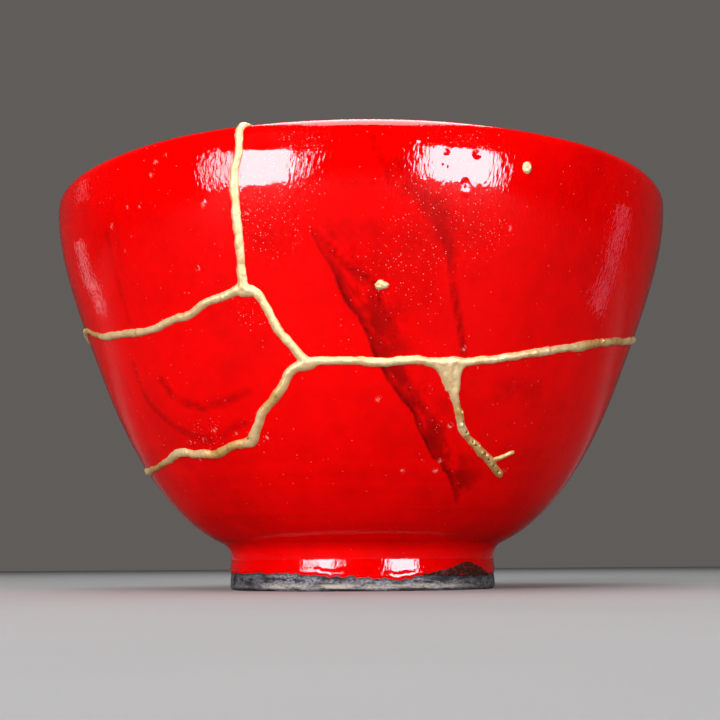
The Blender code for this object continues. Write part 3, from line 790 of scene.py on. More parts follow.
spots = {
    "goldSpotUpper": {
        "node": "gold_spot_upper", "place": (27.0, 68.2), "wide": 0.88, "tall": 1.02, "high": 0.55,
        "uneven": 0.10, "dents": [(0.05, 0.1, 0.45, 0.22), (-0.3, 0.2, 0.2, 0.1)], "seed": 3.0,
    },
    "goldSpotLower": {
        "node": "gold_spot_lower", "place": (3.5, 48.6), "wide": 1.08, "tall": 0.8, "high": 0.6,
        "uneven": 0.26, "dents": [(-0.6, 0.1, 0.35, 0.3), (0.2, -0.2, 0.25, 0.15)], "seed": 9.0,
    },
}

for name, spot in spots.items():
    deselectAll()
    bpy.ops.mesh.primitive_ico_sphere_add(subdivisions=5, radius=1.0)
    blob = bpy.context.object
    blob.name = blob.data.name = name
    place, normal = outerPlace(spot["place"][0], spot["place"][1] * mm)
    right = Vector((-normal.y, normal.x, 0)).normalized()
    up = normal.cross(right)
    points = []
    for x, y, z in readPoints(blob):
        turn = math.atan2(y, x)
        ragged = 1 + spot["uneven"] * noise.noise(Vector((1.3 * math.cos(turn), 1.3 * math.sin(turn), spot["seed"])))
        ragged += 0.5 * spot["uneven"] * noise.noise(Vector((3 * math.cos(turn), 3 * math.sin(turn), spot["seed"] + 4)))
        lump = 1 + 0.22 * noise.noise(Vector((2.2 * x, 2.2 * y, spot["seed"] + 8)))
        rise = z * spot["high"] * lump
        for dx, dy, radius, depth in spot["dents"]:
            gap = math.hypot(x - dx, y - dy) / radius
            if z > 0 and gap < 1:
                rise -= depth * (1 - gap * gap) ** 2
        points.append(place + (right * x * spot["wide"] * ragged + up * y * spot["tall"] * ragged
                               + normal * (rise - 0.06)) * mm)
    writePoints(blob, [list(point) for point in points])
    spot["obj"] = blob
    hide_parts(spot["node"])

goldPieces = [goldOutside, goldInside, goldWebs] + [spot["obj"] for spot in spots.values()]
for obj in goldPieces:
    writePoints(obj, wavered(readPoints(obj)))
    makeActive(obj)
    bpy.ops.object.shade_smooth_by_angle(angle=math.radians(60))
    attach(obj, "root")
for obj in (goldOutside, goldInside, goldWebs):
    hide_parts("gold_seams")
print("gold spots placed")


# Node helpers for the materials

def addNode(tree, kind, **settings):
    made = tree.nodes.new(kind)
    for name, value in settings.items():
        setattr(made, name, value)
    return made


def plug(tree, socket, value):
    if isinstance(value, bpy.types.NodeSocket):
        tree.links.new(value, socket)
    else:
        socket.default_value = value


def maths(tree, operation, a, b=0.0, c=None, clamp=False):
    made = addNode(tree, "ShaderNodeMath", operation=operation, use_clamp=clamp)
    plug(tree, made.inputs[0], a)
    plug(tree, made.inputs[1], b)
    if c is not None:
        plug(tree, made.inputs[2], c)
    return made.outputs[0]


def ramp(tree, value, low, high, toLow=0.0, toHigh=1.0, fall="SMOOTHSTEP"):
    made = addNode(tree, "ShaderNodeMapRange", interpolation_type=fall)
    for name, given in (("Value", value), ("From Min", low), ("From Max", high),
                        ("To Min", toLow), ("To Max", toHigh)):
        plug(tree, made.inputs[name], given)
    return made.outputs["Result"]


def mixColour(tree, share, a, b, blend="MIX"):
    made = addNode(tree, "ShaderNodeMix", data_type="RGBA", blend_type=blend, clamp_result=True)
    plug(tree, made.inputs["Factor"], share)
    plug(tree, made.inputs[6], a)
    plug(tree, made.inputs[7], b)
    return made.outputs[2]


def field(tree, name):
    return addNode(tree, "ShaderNodeAttribute", attribute_type="GEOMETRY", attribute_name=name).outputs["Fac"]


def stretched(tree, coords, scale):
    made = addNode(tree, "ShaderNodeMapping", vector_type="POINT")
    plug(tree, made.inputs["Vector"], coords)
    made.inputs["Scale"].default_value = scale
    return made.outputs["Vector"]


def grained(tree, coords, turn, length):
    made = addNode(tree, "ShaderNodeMapping", vector_type="TEXTURE")  # turned first, then stretched along Z
    plug(tree, made.inputs["Vector"], coords)
    made.inputs["Rotation"].default_value = (0, turn, 0)
    made.inputs["Scale"].default_value = (1, 1, length)
    return made.outputs["Vector"]


def noiseAt(tree, coords, scale, detail=3.0, rough=0.55, distortion=0.0):
    made = addNode(tree, "ShaderNodeTexNoise", noise_dimensions="3D")
    plug(tree, made.inputs["Vector"], coords)
    made.inputs["Scale"].default_value = scale
    made.inputs["Detail"].default_value = detail
    made.inputs["Roughness"].default_value = rough
    made.inputs["Distortion"].default_value = distortion
    return made.outputs["Fac"]


def newGroup(name, inputs, outputs):
    tree = bpy.data.node_groups.new(name, "ShaderNodeTree")
    for title, kind, value in inputs:
        socket = tree.interface.new_socket(name=title, in_out="INPUT", socket_type=kind)
        if value is not None:
            socket.default_value = value
    for title, kind in outputs:
        tree.interface.new_socket(name=title, in_out="OUTPUT", socket_type=kind)
    start = addNode(tree, "NodeGroupInput")
    end = addNode(tree, "NodeGroupOutput")
    return tree, start, end


def useGroup(tree, group, **values):
    made = addNode(tree, "ShaderNodeGroup", node_tree=group)
    for name, value in values.items():
        plug(tree, made.inputs[name], value)
    return made


# One near a place on the wall (wavered as the meshes are), fading to nought

def nearPlace(tree, coords, degrees, z, inner, outer, lift=0.0, fall="SMOOTHSTEP"):
    place, normal = outerPlace(degrees, z * mm)
    place = wavered([list(place + normal * lift * mm)])[0]
    gap = addNode(tree, "ShaderNodeVectorMath", operation="DISTANCE")
    plug(tree, gap.inputs[0], coords)
    gap.inputs[1].default_value = tuple(place)
    return ramp(tree, gap.outputs["Value"], outer * mm, inner * mm, fall=fall)


# Sparse round specks: pinholes in the glaze, painted glints near the glaze's highlights, pits in the gold, grit in the
# clay

def specksGroup():
    tree, start, end = newGroup(
        "sparseSpecks",
        [("Coords", "NodeSocketVector", None), ("Scale", "NodeSocketFloat", 500.0),
         ("Size", "NodeSocketFloat", 0.25), ("Share", "NodeSocketFloat", 0.3)],
        [("Mask", "NodeSocketFloat")])
    cells = addNode(tree, "ShaderNodeTexVoronoi", feature="F1", distance="EUCLIDEAN")
    plug(tree, cells.inputs["Vector"], start.outputs["Coords"])
    plug(tree, cells.inputs["Scale"], start.outputs["Scale"])
    dots = ramp(tree, cells.outputs["Distance"], start.outputs["Size"], 0.0)
    faintest = maths(tree, "MULTIPLY", start.outputs["Share"], 0.35)
    chosen = ramp(tree, firstChannel(tree, cells.outputs["Color"]), start.outputs["Share"], faintest)
    plug(tree, end.inputs["Mask"], maths(tree, "MULTIPLY", dots, chosen))
    return tree


def firstChannel(tree, colour):
    made = addNode(tree, "ShaderNodeSeparateColor")
    plug(tree, made.inputs["Color"], colour)
    return made.outputs[0]


# Soft cloudy patches with a chosen contrast

def patchesGroup():
    tree, start, end = newGroup(
        "softPatches",
        [("Coords", "NodeSocketVector", None), ("Scale", "NodeSocketFloat", 80.0),
         ("Low", "NodeSocketFloat", 0.35), ("High", "NodeSocketFloat", 0.65)],
        [("Mask", "NodeSocketFloat")])
    cloud = addNode(tree, "ShaderNodeTexNoise", noise_dimensions="3D")
    plug(tree, cloud.inputs["Vector"], start.outputs["Coords"])
    plug(tree, cloud.inputs["Scale"], start.outputs["Scale"])
    cloud.inputs["Detail"].default_value = 5.0
    cloud.inputs["Roughness"].default_value = 0.6
    plug(tree, end.inputs["Mask"], ramp(tree, cloud.outputs["Fac"], start.outputs["Low"], start.outputs["High"]))
    return tree


specks = specksGroup()
patches = patchesGroup()


def newMaterial(name):
    made = bpy.data.materials.new(name)
    made.use_nodes = True
    tree = made.node_tree
    shader = tree.nodes["Principled BSDF"]
    coords = addNode(tree, "ShaderNodeTexCoord").outputs["Object"]
    return made, tree, shader, coords


# The glaze, its smoke and its pinholes, the painted glints round its highlights, and the bare clay of the foot

glaze = {
    "bright": (0.88, 0.0, 0.0, 1),
    "deep": (0.50, 0.0, 0.0, 1),
    "smoke": (0.10, 0.0, 0.0, 1),
    "scorch": (0.05, 0.012, 0.008, 1),
    # pale flecks: partly real pale flecks in the glaze, partly painted glints
    "paleFleckAndGlint": (0.9, 0.62, 0.55, 1),
    "clayDark": (0.016, 0.016, 0.019, 1),
    "clayGrey": (0.30, 0.30, 0.34, 1),
    # the pale bevel strip's colour: partly pale clay, partly painted highlight
    "paleClayAndHighlight": (0.52, 0.46, 0.40, 1),
    "gloss": 0.03,
    "hairy": [(-15.0, 67.2, 5.6, -0.9), (15.6, 67.6, 4.6, -0.7), (-23.2, 67.6, 4.2, 1.3), (-8.6, 66.6, 2.0, 1.2),
              (7.8, 67.0, 2.0, 0.8), (23.6, 67.4, 1.8, 0.8), (49.5, 50.0, 6.0, 0.5), (50.5, 60.5, 7.0, 0.4),
              (-60.0, 55.0, 9.0, 0.3), (-56.5, 71.0, 4.5, 0.8)],
    # places round the highlights where pinhole sparkle is painted as pale specks: painted glints
    "paintedGlintZones": [(-14.0, 62.0, 5.0, 11.0), (12.0, 61.0, 2.0, 12.0), (8.0, 52.0, 2.0, 12.0), (-36.0, 26.5, 1.0, 6.0),
                 (-24.0, 26.0, 1.0, 4.0), (15.0, 27.0, 0.5, 3.0), (18.5, 30.5, 0.3, 2.0), (-20.0, 46.0, 1.0, 5.0),
                 (-9.0, 71.5, 2.0, 7.0), (14.8, 72.5, 2.0, 8.0), (2.9, 47.6, 0.6, 2.2), (19.5, 58.5, 2.0, 8.0),
                 (160.0, 55.0, 4.0, 14.0), (-120.0, 45.0, 4.0, 14.0)],
    "fleckAndGlintSpots": [(-43.1, 25.8), (-38.0, 25.9), (-33.8, 27.3), (-28.8, 26.4), (-21.0, 25.8), (-42.5, 22.8), (-46.9, 24.4),
                (18.6, 21.7), (9.8, 20.0), (19.3, 27.3), (3.5, 31.2), (17.9, 20.2), (37.9, 20.7), (19.4, 39.4),
                (-25.7, 62.4), (24.8, 58.3), (-28.8, 52.8), (-32.2, 71.5), (-34.4, 70.7), (-35.4, 68.8),
                (-41.7, 64.8), (-38.7, 64.3), (-44.3, 57.8), (-47.0, 62.5), (-18.0, 60.5)],
    "dimples": [(13.3, 69.3, 0.6, 0.10), (18.2, 69.3, 0.85, 0.14), (16.5, 64.7, 0.85, 0.14),
                (12.7, 67.3, 0.25, 0.03), (13.5, 67.0, 0.25, 0.03), (8.6, 71.0, 0.7, -0.08), (16.6, 63.2, 0.9, -0.08),
                (-24.7, 64.4, 0.7, -0.06), (-25.7, 62.6, 0.7, -0.06)],
}


def glazeMaterial():
    made, tree, shader, coords = newMaterial("redGlaze")
    parts = addNode(tree, "ShaderNodeSeparateXYZ")
    plug(tree, parts.inputs[0], coords)
    across, height = parts.outputs["X"], parts.outputs["Z"]

    # colour: clouds, fine mottling, faint turning bands low down, smoke, and pale flecks that are partly real flecks
    # and partly painted glints
    clouds = useGroup(tree, patches, Coords=coords, Scale=58.0, Low=0.40, High=0.74).outputs["Mask"]
    mottle = useGroup(tree, patches, Coords=coords, Scale=310.0, Low=0.38, High=0.7).outputs["Mask"]
    bands = noiseAt(tree, stretched(tree, coords, (14, 14, 620)), 1.0, detail=3.0)
    low = ramp(tree, height, 34 * mm, 12 * mm)
    depth = maths(tree, "MULTIPLY_ADD", clouds, 0.38, maths(tree, "MULTIPLY", mottle, 0.14))
    depth = maths(tree, "ADD", depth, maths(tree, "MULTIPLY", maths(tree, "SUBTRACT", bands, 0.36, clamp=True),
                                            maths(tree, "MULTIPLY", low, 0.75)), clamp=True)
    colour = mixColour(tree, depth, glaze["bright"], glaze["deep"])
    wisps = noiseAt(tree, stretched(tree, coords, (1, 1, 0.6)), 520.0, detail=5.0, rough=0.62)
    drift = maths(tree, "SUBTRACT", wisps, 0.5)
    mainGap = maths(tree, "MULTIPLY_ADD", drift, 1.1, field(tree, "smokeMain"))
    front = maths(tree, "MULTIPLY", ramp(tree, mainGap, -0.3, 0.25), field(tree, "smokeReach"))
    streaks = noiseAt(tree, grained(tree, coords, -0.56, 3.4), 430.0, detail=4.0, rough=0.6, distortion=0.3)
    dense = maths(tree, "MULTIPLY", ramp(tree, mainGap, 2.0, 0.1), ramp(tree, streaks, 0.32, 0.54, 0.5, 1.05))
    thread = maths(tree, "ABSOLUTE", maths(tree, "SUBTRACT", noiseAt(
        tree, grained(tree, coords, -0.50, 4.0), 300.0, detail=2.0, rough=0.5, distortion=0.2), 0.5))
    veins = maths(tree, "MULTIPLY", ramp(tree, thread, 0.05, 0.0), ramp(tree, mainGap, 5.5, 1.5, 0.0, 0.3))
    blotches = ramp(tree, noiseAt(tree, grained(tree, coords, -0.5, 1.8), 190.0, detail=5.0, rough=0.62), 0.40, 0.60)
    haze = maths(tree, "MULTIPLY", blotches, ramp(tree, mainGap, 8.5, 0.5, 0.0, 0.85))
    strongest = ramp(tree, height, 57 * mm, 47 * mm, 0.5, 1.0)
    mainMask = maths(tree, "MAXIMUM", dense, maths(tree, "MAXIMUM", veins, haze))
    mainMask = maths(tree, "MULTIPLY", maths(tree, "MULTIPLY", front, strongest), mainMask)
    faintGap = maths(tree, "MULTIPLY_ADD", drift, 0.9, field(tree, "smokeFaint"))
    faintMask = maths(tree, "MULTIPLY", ramp(tree, faintGap, 1.8, 0.0), field(tree, "smokeDark"))
    broken = ramp(tree, noiseAt(tree, coords, 330.0, detail=4.0, rough=0.6), 0.36, 0.56, 0.35, 1.0)
    faintMask = maths(tree, "MULTIPLY", faintMask, broken)
    smokeMask = maths(tree, "MAXIMUM", mainMask, faintMask)
    patchy = maths(tree, "MULTIPLY_ADD", noiseAt(tree, coords, 240.0, detail=3.0), 1.5, 0.2, clamp=True)
    smokeMask = maths(tree, "MULTIPLY", smokeMask, patchy)
    colour = mixColour(tree, maths(tree, "MULTIPLY", smokeMask, 0.86, clamp=True), colour, glaze["smoke"])
    flecksAndPaintedGlints = useGroup(tree, specks, Coords=coords, Scale=210.0, Size=0.05, Share=0.04).outputs["Mask"]
    # pale specks near the highlights stand in for pinholes catching the windows: painted glints
    paintedGlintZones = 0.05
    for degrees, z, inner, outer in glaze["paintedGlintZones"]:
        paintedGlintZones = maths(tree, "MAXIMUM", paintedGlintZones, nearPlace(tree, coords, degrees, z, inner, outer))
    paintedGlints = useGroup(tree, specks, Coords=coords, Scale=2500.0, Size=0.26, Share=maths(tree, "MULTIPLY", paintedGlintZones, 0.6))
    flecksAndPaintedGlints = maths(tree, "MAXIMUM", flecksAndPaintedGlints, paintedGlints.outputs["Mask"])
    # spots where small craters catch the light, painted as pale flecks: painted glints
    fleckAndGlintSpots = 0.0
    for degrees, z in glaze["fleckAndGlintSpots"]:
        fleckAndGlintSpots = maths(tree, "MAXIMUM", fleckAndGlintSpots, nearPlace(tree, coords, degrees, z, 0.1, 0.7))
    fleckAndGlintSpots = maths(tree, "MULTIPLY", fleckAndGlintSpots, ramp(tree, noiseAt(tree, grained(tree, coords, -0.6, 2.4), 2400.0), 0.5, 0.6))
    flecksAndPaintedGlints = maths(tree, "MAXIMUM", flecksAndPaintedGlints, maths(tree, "MULTIPLY", fleckAndGlintSpots, 0.5))
    colour = mixColour(tree, maths(tree, "MULTIPLY", flecksAndPaintedGlints, 0.85, clamp=True), colour, glaze["paleFleckAndGlint"])

    # the bare foot below the glaze line, with painted shade on its sides and a painted highlight on its bevel
    ragged = noiseAt(tree, coords, 1500.0, detail=4.0)
    edge = maths(tree, "MULTIPLY_ADD", maths(tree, "SUBTRACT", ragged, 0.5), 0.5, field(tree, "glazeEdge"))
    bare = ramp(tree, edge, 0.06, -0.06)
    scorched = ramp(tree, maths(tree, "MULTIPLY_ADD", maths(tree, "SUBTRACT", ragged, 0.5), 0.5,
                                field(tree, "scorch")), -0.15, 0.2)
    sooty = noiseAt(tree, stretched(tree, coords, (1, 1, 3.2)), 420.0, detail=4.0, rough=0.65)
    scorched = maths(tree, "MULTIPLY", scorched, ramp(tree, sooty, 0.30, 0.46, 0.6, 1.0))
    colour = mixColour(tree, scorched, colour, glaze["scorch"])
    clayPatch = useGroup(tree, patches, Coords=stretched(tree, coords, (1, 1, 3.5)), Scale=300.0,
                         Low=0.40, High=0.56).outputs["Mask"]
    sand = noiseAt(tree, stretched(tree, coords, (1, 1, 2.2)), 1900.0, detail=4.0, rough=0.75)
    clay = mixColour(tree, maths(tree, "MULTIPLY", clayPatch, ramp(tree, sand, 0.40, 0.58, 0.2, 1.0)),
                     glaze["clayDark"], glaze["clayGrey"])
    aside = maths(tree, "ABSOLUTE", across)
    # the foot's clay darker towards its sides (large |x|): painted shade
    clay = mixColour(tree, ramp(tree, aside, 13 * mm, 20 * mm, 0.0, 0.55), clay, glaze["clayDark"])
    # a pale strip on the foot's lower bevel, strongest at front and back and faded on the sides: partly pale clay,
    # partly painted highlight
    paleBevelAndPaintedHighlight = maths(tree, "MULTIPLY", ramp(tree, height, 0.35 * mm, 0.6 * mm), ramp(tree, height, 1.5 * mm, 0.9 * mm))
    paleBevelAndPaintedHighlight = maths(tree, "MULTIPLY", paleBevelAndPaintedHighlight, ramp(tree, aside, 20 * mm, 14 * mm, 0.15, 1.0))
    stripNoise = useGroup(tree, patches, Coords=stretched(tree, coords, (1, 1, 4)), Scale=170.0,
                          Low=0.34, High=0.58).outputs["Mask"]
    paleBevelAndPaintedHighlight = maths(tree, "MULTIPLY", paleBevelAndPaintedHighlight, maths(tree, "MULTIPLY", stripNoise, ramp(tree, sand, 0.3, 0.5, 0.3, 1.0)))
    clay = mixColour(tree, paleBevelAndPaintedHighlight, clay, glaze["paleClayAndHighlight"])
    grit = useGroup(tree, specks, Coords=coords, Scale=1300.0, Size=0.4, Share=0.3).outputs["Mask"]
    clay = mixColour(tree, maths(tree, "MULTIPLY", grit, 0.6), clay, glaze["clayDark"])
    clay = mixColour(tree, ramp(tree, edge, -0.5, -0.12, 0.0, 0.7), clay, glaze["clayDark"])
    colour = mixColour(tree, bare, colour, clay)
    plug(tree, shader.inputs["Base Color"], colour)

    gloss = maths(tree, "MULTIPLY_ADD", mottle, 0.03, glaze["gloss"])
    gloss = maths(tree, "MULTIPLY_ADD", smokeMask, 0.08, gloss)
    gloss = maths(tree, "MULTIPLY_ADD", scorched, ramp(tree, ragged, 0.46, 0.56, 0.0, 0.4), gloss)
    gloss = maths(tree, "MAXIMUM", gloss, maths(tree, "MULTIPLY", bare, 0.85))
    plug(tree, shader.inputs["Roughness"], gloss)
    shader.inputs["IOR"].default_value = 1.45

    # relief in metres: upright hairs, orange peel, pinholes, dimples and the clay's tooth
    hairs = noiseAt(tree, grained(tree, coords, 0.16, 3.2), 2100.0, detail=1.0)
    peel = noiseAt(tree, stretched(tree, coords, (1, 1, 0.6)), 560.0, detail=2.0)
    hairy = 1.0
    for degrees, z, radius, more in glaze["hairy"]:
        hairy = maths(tree, "MULTIPLY_ADD", nearPlace(tree, coords, degrees, z, 0.7 * radius, 1.15 * radius), more, hairy)
    relief = maths(tree, "MULTIPLY", maths(tree, "MULTIPLY", hairs, maths(tree, "MAXIMUM", hairy, 0.08)), 0.034 * mm)
    relief = maths(tree, "MULTIPLY_ADD", peel, 0.014 * mm, relief)
    pins = useGroup(tree, specks, Coords=coords, Scale=900.0, Size=0.2, Share=0.10).outputs["Mask"]
    relief = maths(tree, "MULTIPLY_ADD", pins, 0.022 * mm, relief)
    for degrees, z, radius, deep in glaze["dimples"]:
        cone = nearPlace(tree, coords, degrees, z, 0.0, radius, fall="LINEAR")
        relief = maths(tree, "MULTIPLY_ADD", cone, -deep * mm, relief)
    tooth = maths(tree, "MULTIPLY_ADD", noiseAt(tree, coords, 1700.0, detail=4.0, rough=0.7), 0.16 * mm,
                  maths(tree, "MULTIPLY", grit, -0.07 * mm))
    relief = maths(tree, "ADD", maths(tree, "MULTIPLY", relief, maths(tree, "SUBTRACT", 1.0, bare)),
                   maths(tree, "MULTIPLY", tooth, bare))
    bump = addNode(tree, "ShaderNodeBump")
    bump.inputs["Strength"].default_value = 1.0
    bump.inputs["Distance"].default_value = 1.0
    plug(tree, bump.inputs["Height"], relief)
    plug(tree, shader.inputs["Normal"], bump.outputs["Normal"])
    return made


# Gold powder burnished on lacquer: pale and matt, ochre where it is thin, dark in its pits

goldLook = {
    "pale": (0.91, 0.69, 0.37, 1),
    "ochre": (0.72, 0.42, 0.14, 1),
    "rich": (0.66, 0.34, 0.07, 1),
    "brown": (0.26, 0.14, 0.05, 1),
    "pit": (0.08, 0.04, 0.02, 1),
    "metal": 0.36,
    "grainy": [(21.0, 30.0, 2.0), (25.0, 25.0, 3.0), (29.0, 23.5, 3.0), (34.0, 21.0, 3.5), (52.0, 43.0, 5.0),
               (62.0, 44.2, 5.0), (-64.0, 23.0, 7.0), (-70.0, 47.5, 8.0), (-33.0, 24.8, 6.0), (-19.0, 32.0, 3.0), (130.0, 44.0, 18.0),
               (-125.0, 25.0, 16.0)],
}


def goldMaterial():
    made, tree, shader, coords = newMaterial("goldPowder")
    thin = useGroup(tree, patches, Coords=coords, Scale=330.0, Low=0.40, High=0.70).outputs["Mask"]
    worn = useGroup(tree, patches, Coords=coords, Scale=1250.0, Low=0.50, High=0.72).outputs["Mask"]
    powder = noiseAt(tree, coords, 4600.0, detail=3.0, rough=0.65)
    grainy = 0.0
    for degrees, z, radius in goldLook["grainy"]:
        grainy = maths(tree, "MAXIMUM", grainy, nearPlace(tree, coords, degrees, z, 0.4 * radius, 1.2 * radius))
    colour = mixColour(tree, maths(tree, "MULTIPLY", thin, 0.55), goldLook["pale"], goldLook["ochre"])
    colour = mixColour(tree, ramp(tree, powder, 0.44, 0.70, 0.0, 0.5), colour, goldLook["ochre"])
    colour = mixColour(tree, maths(tree, "MULTIPLY", grainy, 0.75), colour, goldLook["rich"])
    wear = maths(tree, "MULTIPLY", worn, maths(tree, "MULTIPLY_ADD", grainy, 0.45, 0.3))
    colour = mixColour(tree, wear, colour, goldLook["brown"])
    pits = useGroup(tree, specks, Coords=coords, Scale=620.0, Size=0.13, Share=0.16).outputs["Mask"]
    pitMask = ramp(tree, pits, 0.25, 0.7)
    for degrees, z, radius, _ in gold["pits"]:
        pitMask = maths(tree, "MAXIMUM", pitMask, nearPlace(tree, coords, degrees, z, 0.14, 0.3, lift=0.35))
    colour = mixColour(tree, pitMask, colour, goldLook["pit"])
    plug(tree, shader.inputs["Base Color"], colour)
    plug(tree, shader.inputs["Metallic"], maths(tree, "MULTIPLY_ADD", pitMask, -goldLook["metal"], goldLook["metal"]))
    plug(tree, shader.inputs["Roughness"], ramp(tree, powder, 0.3, 0.7, 0.36, 0.52))
    relief = maths(tree, "MULTIPLY_ADD", powder, 0.06 * mm, maths(tree, "MULTIPLY", pits, -0.06 * mm))
    bump = addNode(tree, "ShaderNodeBump")
    bump.inputs["Strength"].default_value = 1.0
    bump.inputs["Distance"].default_value = 1.0
    plug(tree, bump.inputs["Height"], relief)
    plug(tree, shader.inputs["Normal"], bump.outputs["Normal"])
    return made


redGlaze = glazeMaterial()
goldPowder = goldMaterial()
for sherd in sherds.values():
    sherd["obj"].data.materials.clear()
    sherd["obj"].data.materials.append(redGlaze)
for obj in goldPieces:
    obj.data.materials.clear()
    obj.data.materials.append(goldPowder)
for name, node in frame["nodes"].items():
    node.data.materials.clear()
    node.data.materials.append(goldPowder if name.startswith("gold") else redGlaze)
print("materials made")


# The camera, low and close, looking a little up

camera = {
    "distance": 254.18 * mm,
    "height": 4.2 * mm,
    "pitch": math.radians(9.157),
    "roll": math.radians(-0.379),
    "yaw": math.radians(0.049),
    "focal": 1285.2,
}

lens = bpy.data.cameras.new("camera")
lens.sensor_width = 36.0
lens.lens = camera["focal"] * 36.0 / 720
lens.clip_start, lens.clip_end = 0.01, 20.0
eye = bpy.data.objects.new("camera", lens)
bpy.context.scene.collection.objects.link(eye)
eye.matrix_world = (Matrix.Translation((0, -camera["distance"], camera["height"]))
                    @ Matrix.Rotation(camera["yaw"], 4, "Z")
                    @ Matrix.Rotation(math.pi / 2 + camera["pitch"], 4, "X")
                    @ Matrix.Rotation(camera["roll"], 4, "Z"))
bpy.context.scene.camera = eye


# The studio: a pale floor, dim grey surroundings, soft boxes, and windows that show in the glaze

studio = {
    "surround": (0.118, 0.108, 0.102, 1),
    "mirroredFront": (0.012, 0.012, 0.012, 1),
    "mirroredFloor": (0.24, 0.24, 0.24, 1),
    "mirroredBack": (0.05, 0.048, 0.046, 1),
    "floor": (0.42, 0.425, 0.43, 1),
}

deselectAll()
bpy.ops.mesh.primitive_plane_add(size=6.0, location=(0, 0, 0))
floor = bpy.context.object
floor.name = "floor"
bpy.ops.object.mode_set(mode="EDIT")
bpy.ops.mesh.subdivide(number_cuts=4)
bpy.ops.object.mode_set(mode="OBJECT")
floorMaterial, tree, shader, coords = newMaterial("paleFloor")
grey = mixColour(tree, useGroup(tree, patches, Coords=coords, Scale=9.0, Low=0.3, High=0.7).outputs["Mask"],
                 studio["floor"], (0.39, 0.395, 0.40, 1))
mirrored = addNode(tree, "ShaderNodeLightPath").outputs["Is Glossy Ray"]
parts = addNode(tree, "ShaderNodeSeparateXYZ")
plug(tree, parts.inputs[0], coords)
inGlaze = mixColour(tree, ramp(tree, parts.outputs["Y"], 0.05, 0.4), studio["mirroredFront"], studio["mirroredFloor"])
plug(tree, shader.inputs["Base Color"], mixColour(tree, mirrored, grey, inGlaze))
shader.inputs["Roughness"].default_value = 0.9
floor.data.materials.append(floorMaterial)

world = bpy.data.worlds.new("studio")
bpy.context.scene.world = world
world.use_nodes = True
tree = world.node_tree
mirrored = addNode(tree, "ShaderNodeLightPath").outputs["Is Glossy Ray"]
parts = addNode(tree, "ShaderNodeSeparateXYZ")
plug(tree, parts.inputs[0], addNode(tree, "ShaderNodeTexCoord").outputs["Generated"])
inGlaze = mixColour(tree, ramp(tree, parts.outputs["Y"], 0.1, 0.8), studio["mirroredFront"], studio["mirroredBack"])
plug(tree, tree.nodes["Background"].inputs["Color"], mixColour(tree, mirrored, studio["surround"], inGlaze))
bpy.context.scene.view_settings.view_transform = "Standard"


def panelLight(name, centre, xAxis, yAxis, toward, radiance, glossy=True, colour=(1, 1, 1)):
    lamp = bpy.data.lights.new(name, "AREA")
    lamp.shape = "RECTANGLE"
    lamp.size, lamp.size_y = xAxis.length, yAxis.length
    lamp.energy = radiance * math.pi * lamp.size * lamp.size_y
    lamp.color = colour
    obj = bpy.data.objects.new(name, lamp)
    bpy.context.scene.collection.objects.link(obj)
    back = (centre - toward).normalized()
    right = (xAxis - back * xAxis.dot(back)).normalized()
    up = back.cross(right)
    obj.matrix_world = Matrix.Translation(centre) @ Matrix((right, up, back)).transposed().to_4x4()
    obj.visible_camera = False
    obj.visible_glossy = glossy
    return obj


# A panel whose mirror image covers the patch of wall between four (degrees, height in mm)

def reflectedWindow(name, corners, distance, radiance, colour=(1, 1, 1)):
    points, mean = [], Vector()
    for degrees, height in corners:
        place, normal = outerPlace(degrees, height * mm)
        sight = (place - eye.matrix_world.translation).normalized()
        points.append(place + sight.reflect(normal) * distance)
        mean += place / 4
    centre = sum(points, Vector()) / 4
    xAxis = (points[1] - points[0] + points[2] - points[3]) / 2
    yAxis = (points[3] - points[0] + points[2] - points[1]) / 2
    print(name, "at", [round(v, 3) for v in centre], "size", round(xAxis.length, 3), round(yAxis.length, 3))
    lamp = panelLight(name, centre, xAxis, yAxis, mean, radiance, True, colour)
    lamp.visible_diffuse = False
    return lamp


# A crooked streak of light: one short panel for each step between rows of (degrees from, degrees to, height in mm)

def reflectedStreak(name, rows, distance, radiance, colour):
    for k, ((fromLow, toLow, low), (fromHigh, toHigh, high)) in enumerate(zip(rows, rows[1:])):
        corners = [(fromLow, low), (toLow, low), (toHigh, high), (fromHigh, high)]
        reflectedWindow("%s%d" % (name, k), corners, distance, radiance, colour)


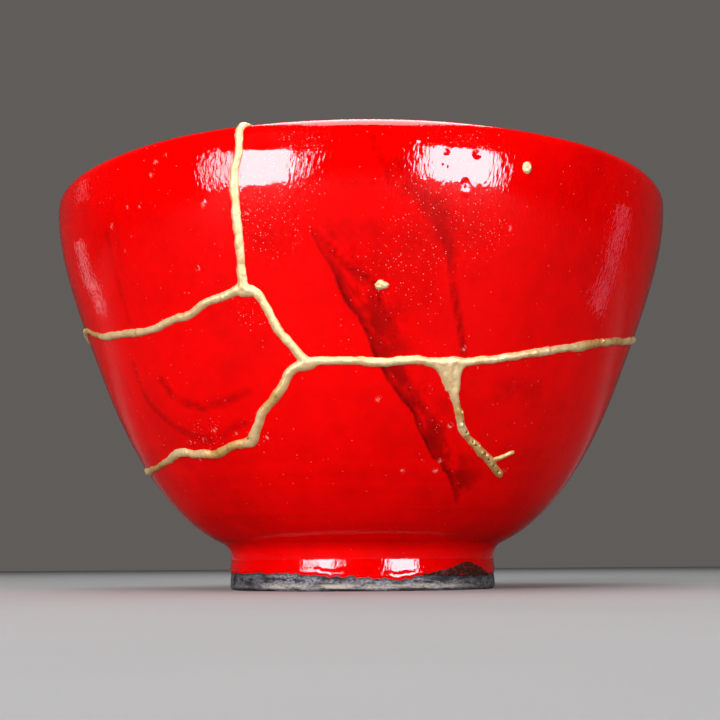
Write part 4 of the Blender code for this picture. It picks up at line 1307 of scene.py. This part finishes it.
# These panels show only as reflections in the glaze
cool = (0.98, 0.94, 1.0)
reflectedWindow("windowLeft", [(-19.0, 64.4), (-11.4, 64.1), (-10.6, 69.5), (-19.0, 70.2)], 0.55, 26.0, cool)
reflectedWindow("windowLeftPane", [(-24.6, 64.8), (-20.2, 64.4), (-20.2, 70.6), (-23.2, 70.6)], 0.55, 20.0, cool)
reflectedWindow("windowLeftEdge", [(-8.9, 63.8), (-8.0, 63.6), (-7.8, 69.3), (-8.7, 69.5)], 0.55, 22.0, cool)
reflectedWindow("windowRight", [(9.4, 64.9), (22.0, 64.2), (21.6, 70.0), (10.0, 69.8)], 0.55, 26.0, cool)
reflectedStreak("streakLeft", [(-60.4, -58.6, 49.4), (-60.2, -58.2, 55.3), (-63.4, -61.8, 61.9)], 0.06, 1.1, cool)
reflectedStreak("streakLeftTop", [(-58.4, -56.8, 69.1), (-55.6, -53.4, 73.0)], 0.06, 0.5, cool)
reflectedStreak("streakRight", [(47.8, 51.2, 47.9), (48.8, 51.0, 52.5), (49.4, 51.2, 59.4), (49.4, 52.4, 66.0)],
                0.06, 0.75, (1.0, 0.62, 0.95))

# These light the bowl and the floor, and the ceiling alone shows on the lip
softBoxes = {
    "key": {"at": (-0.55, -1.0, 0.42), "wide": 0.8, "tall": 0.6, "radiance": 8.8, "glossy": False},
    "fillRight": {"at": (0.7, -1.0, 0.42), "wide": 0.6, "tall": 0.5, "radiance": 6.1, "glossy": False},
    "top": {"at": (-0.2, -0.3, 1.2), "wide": 0.9, "tall": 0.9, "radiance": 2.5, "glossy": False},
    "ceiling": {"at": (0.03, -0.05, 1.0), "wide": 0.56, "tall": 1.5, "radiance": 7.0, "glossy": True},
}
for name, box in softBoxes.items():
    at = Vector(box["at"])
    toward = Vector((0, 0, 0.04))
    aside = Vector((-at.y, at.x, 0)) if name in ("key", "fillRight") else Vector((1, 0, 0))
    rise = Vector((0, 0, 1)) if name in ("key", "fillRight") else Vector((0, 1, 0))
    lamp = panelLight(name, at, aside.normalized() * box["wide"], rise * box["tall"], toward, box["radiance"],
                      box["glossy"])
    lamp.visible_diffuse = name != "ceiling"
print("lights placed")
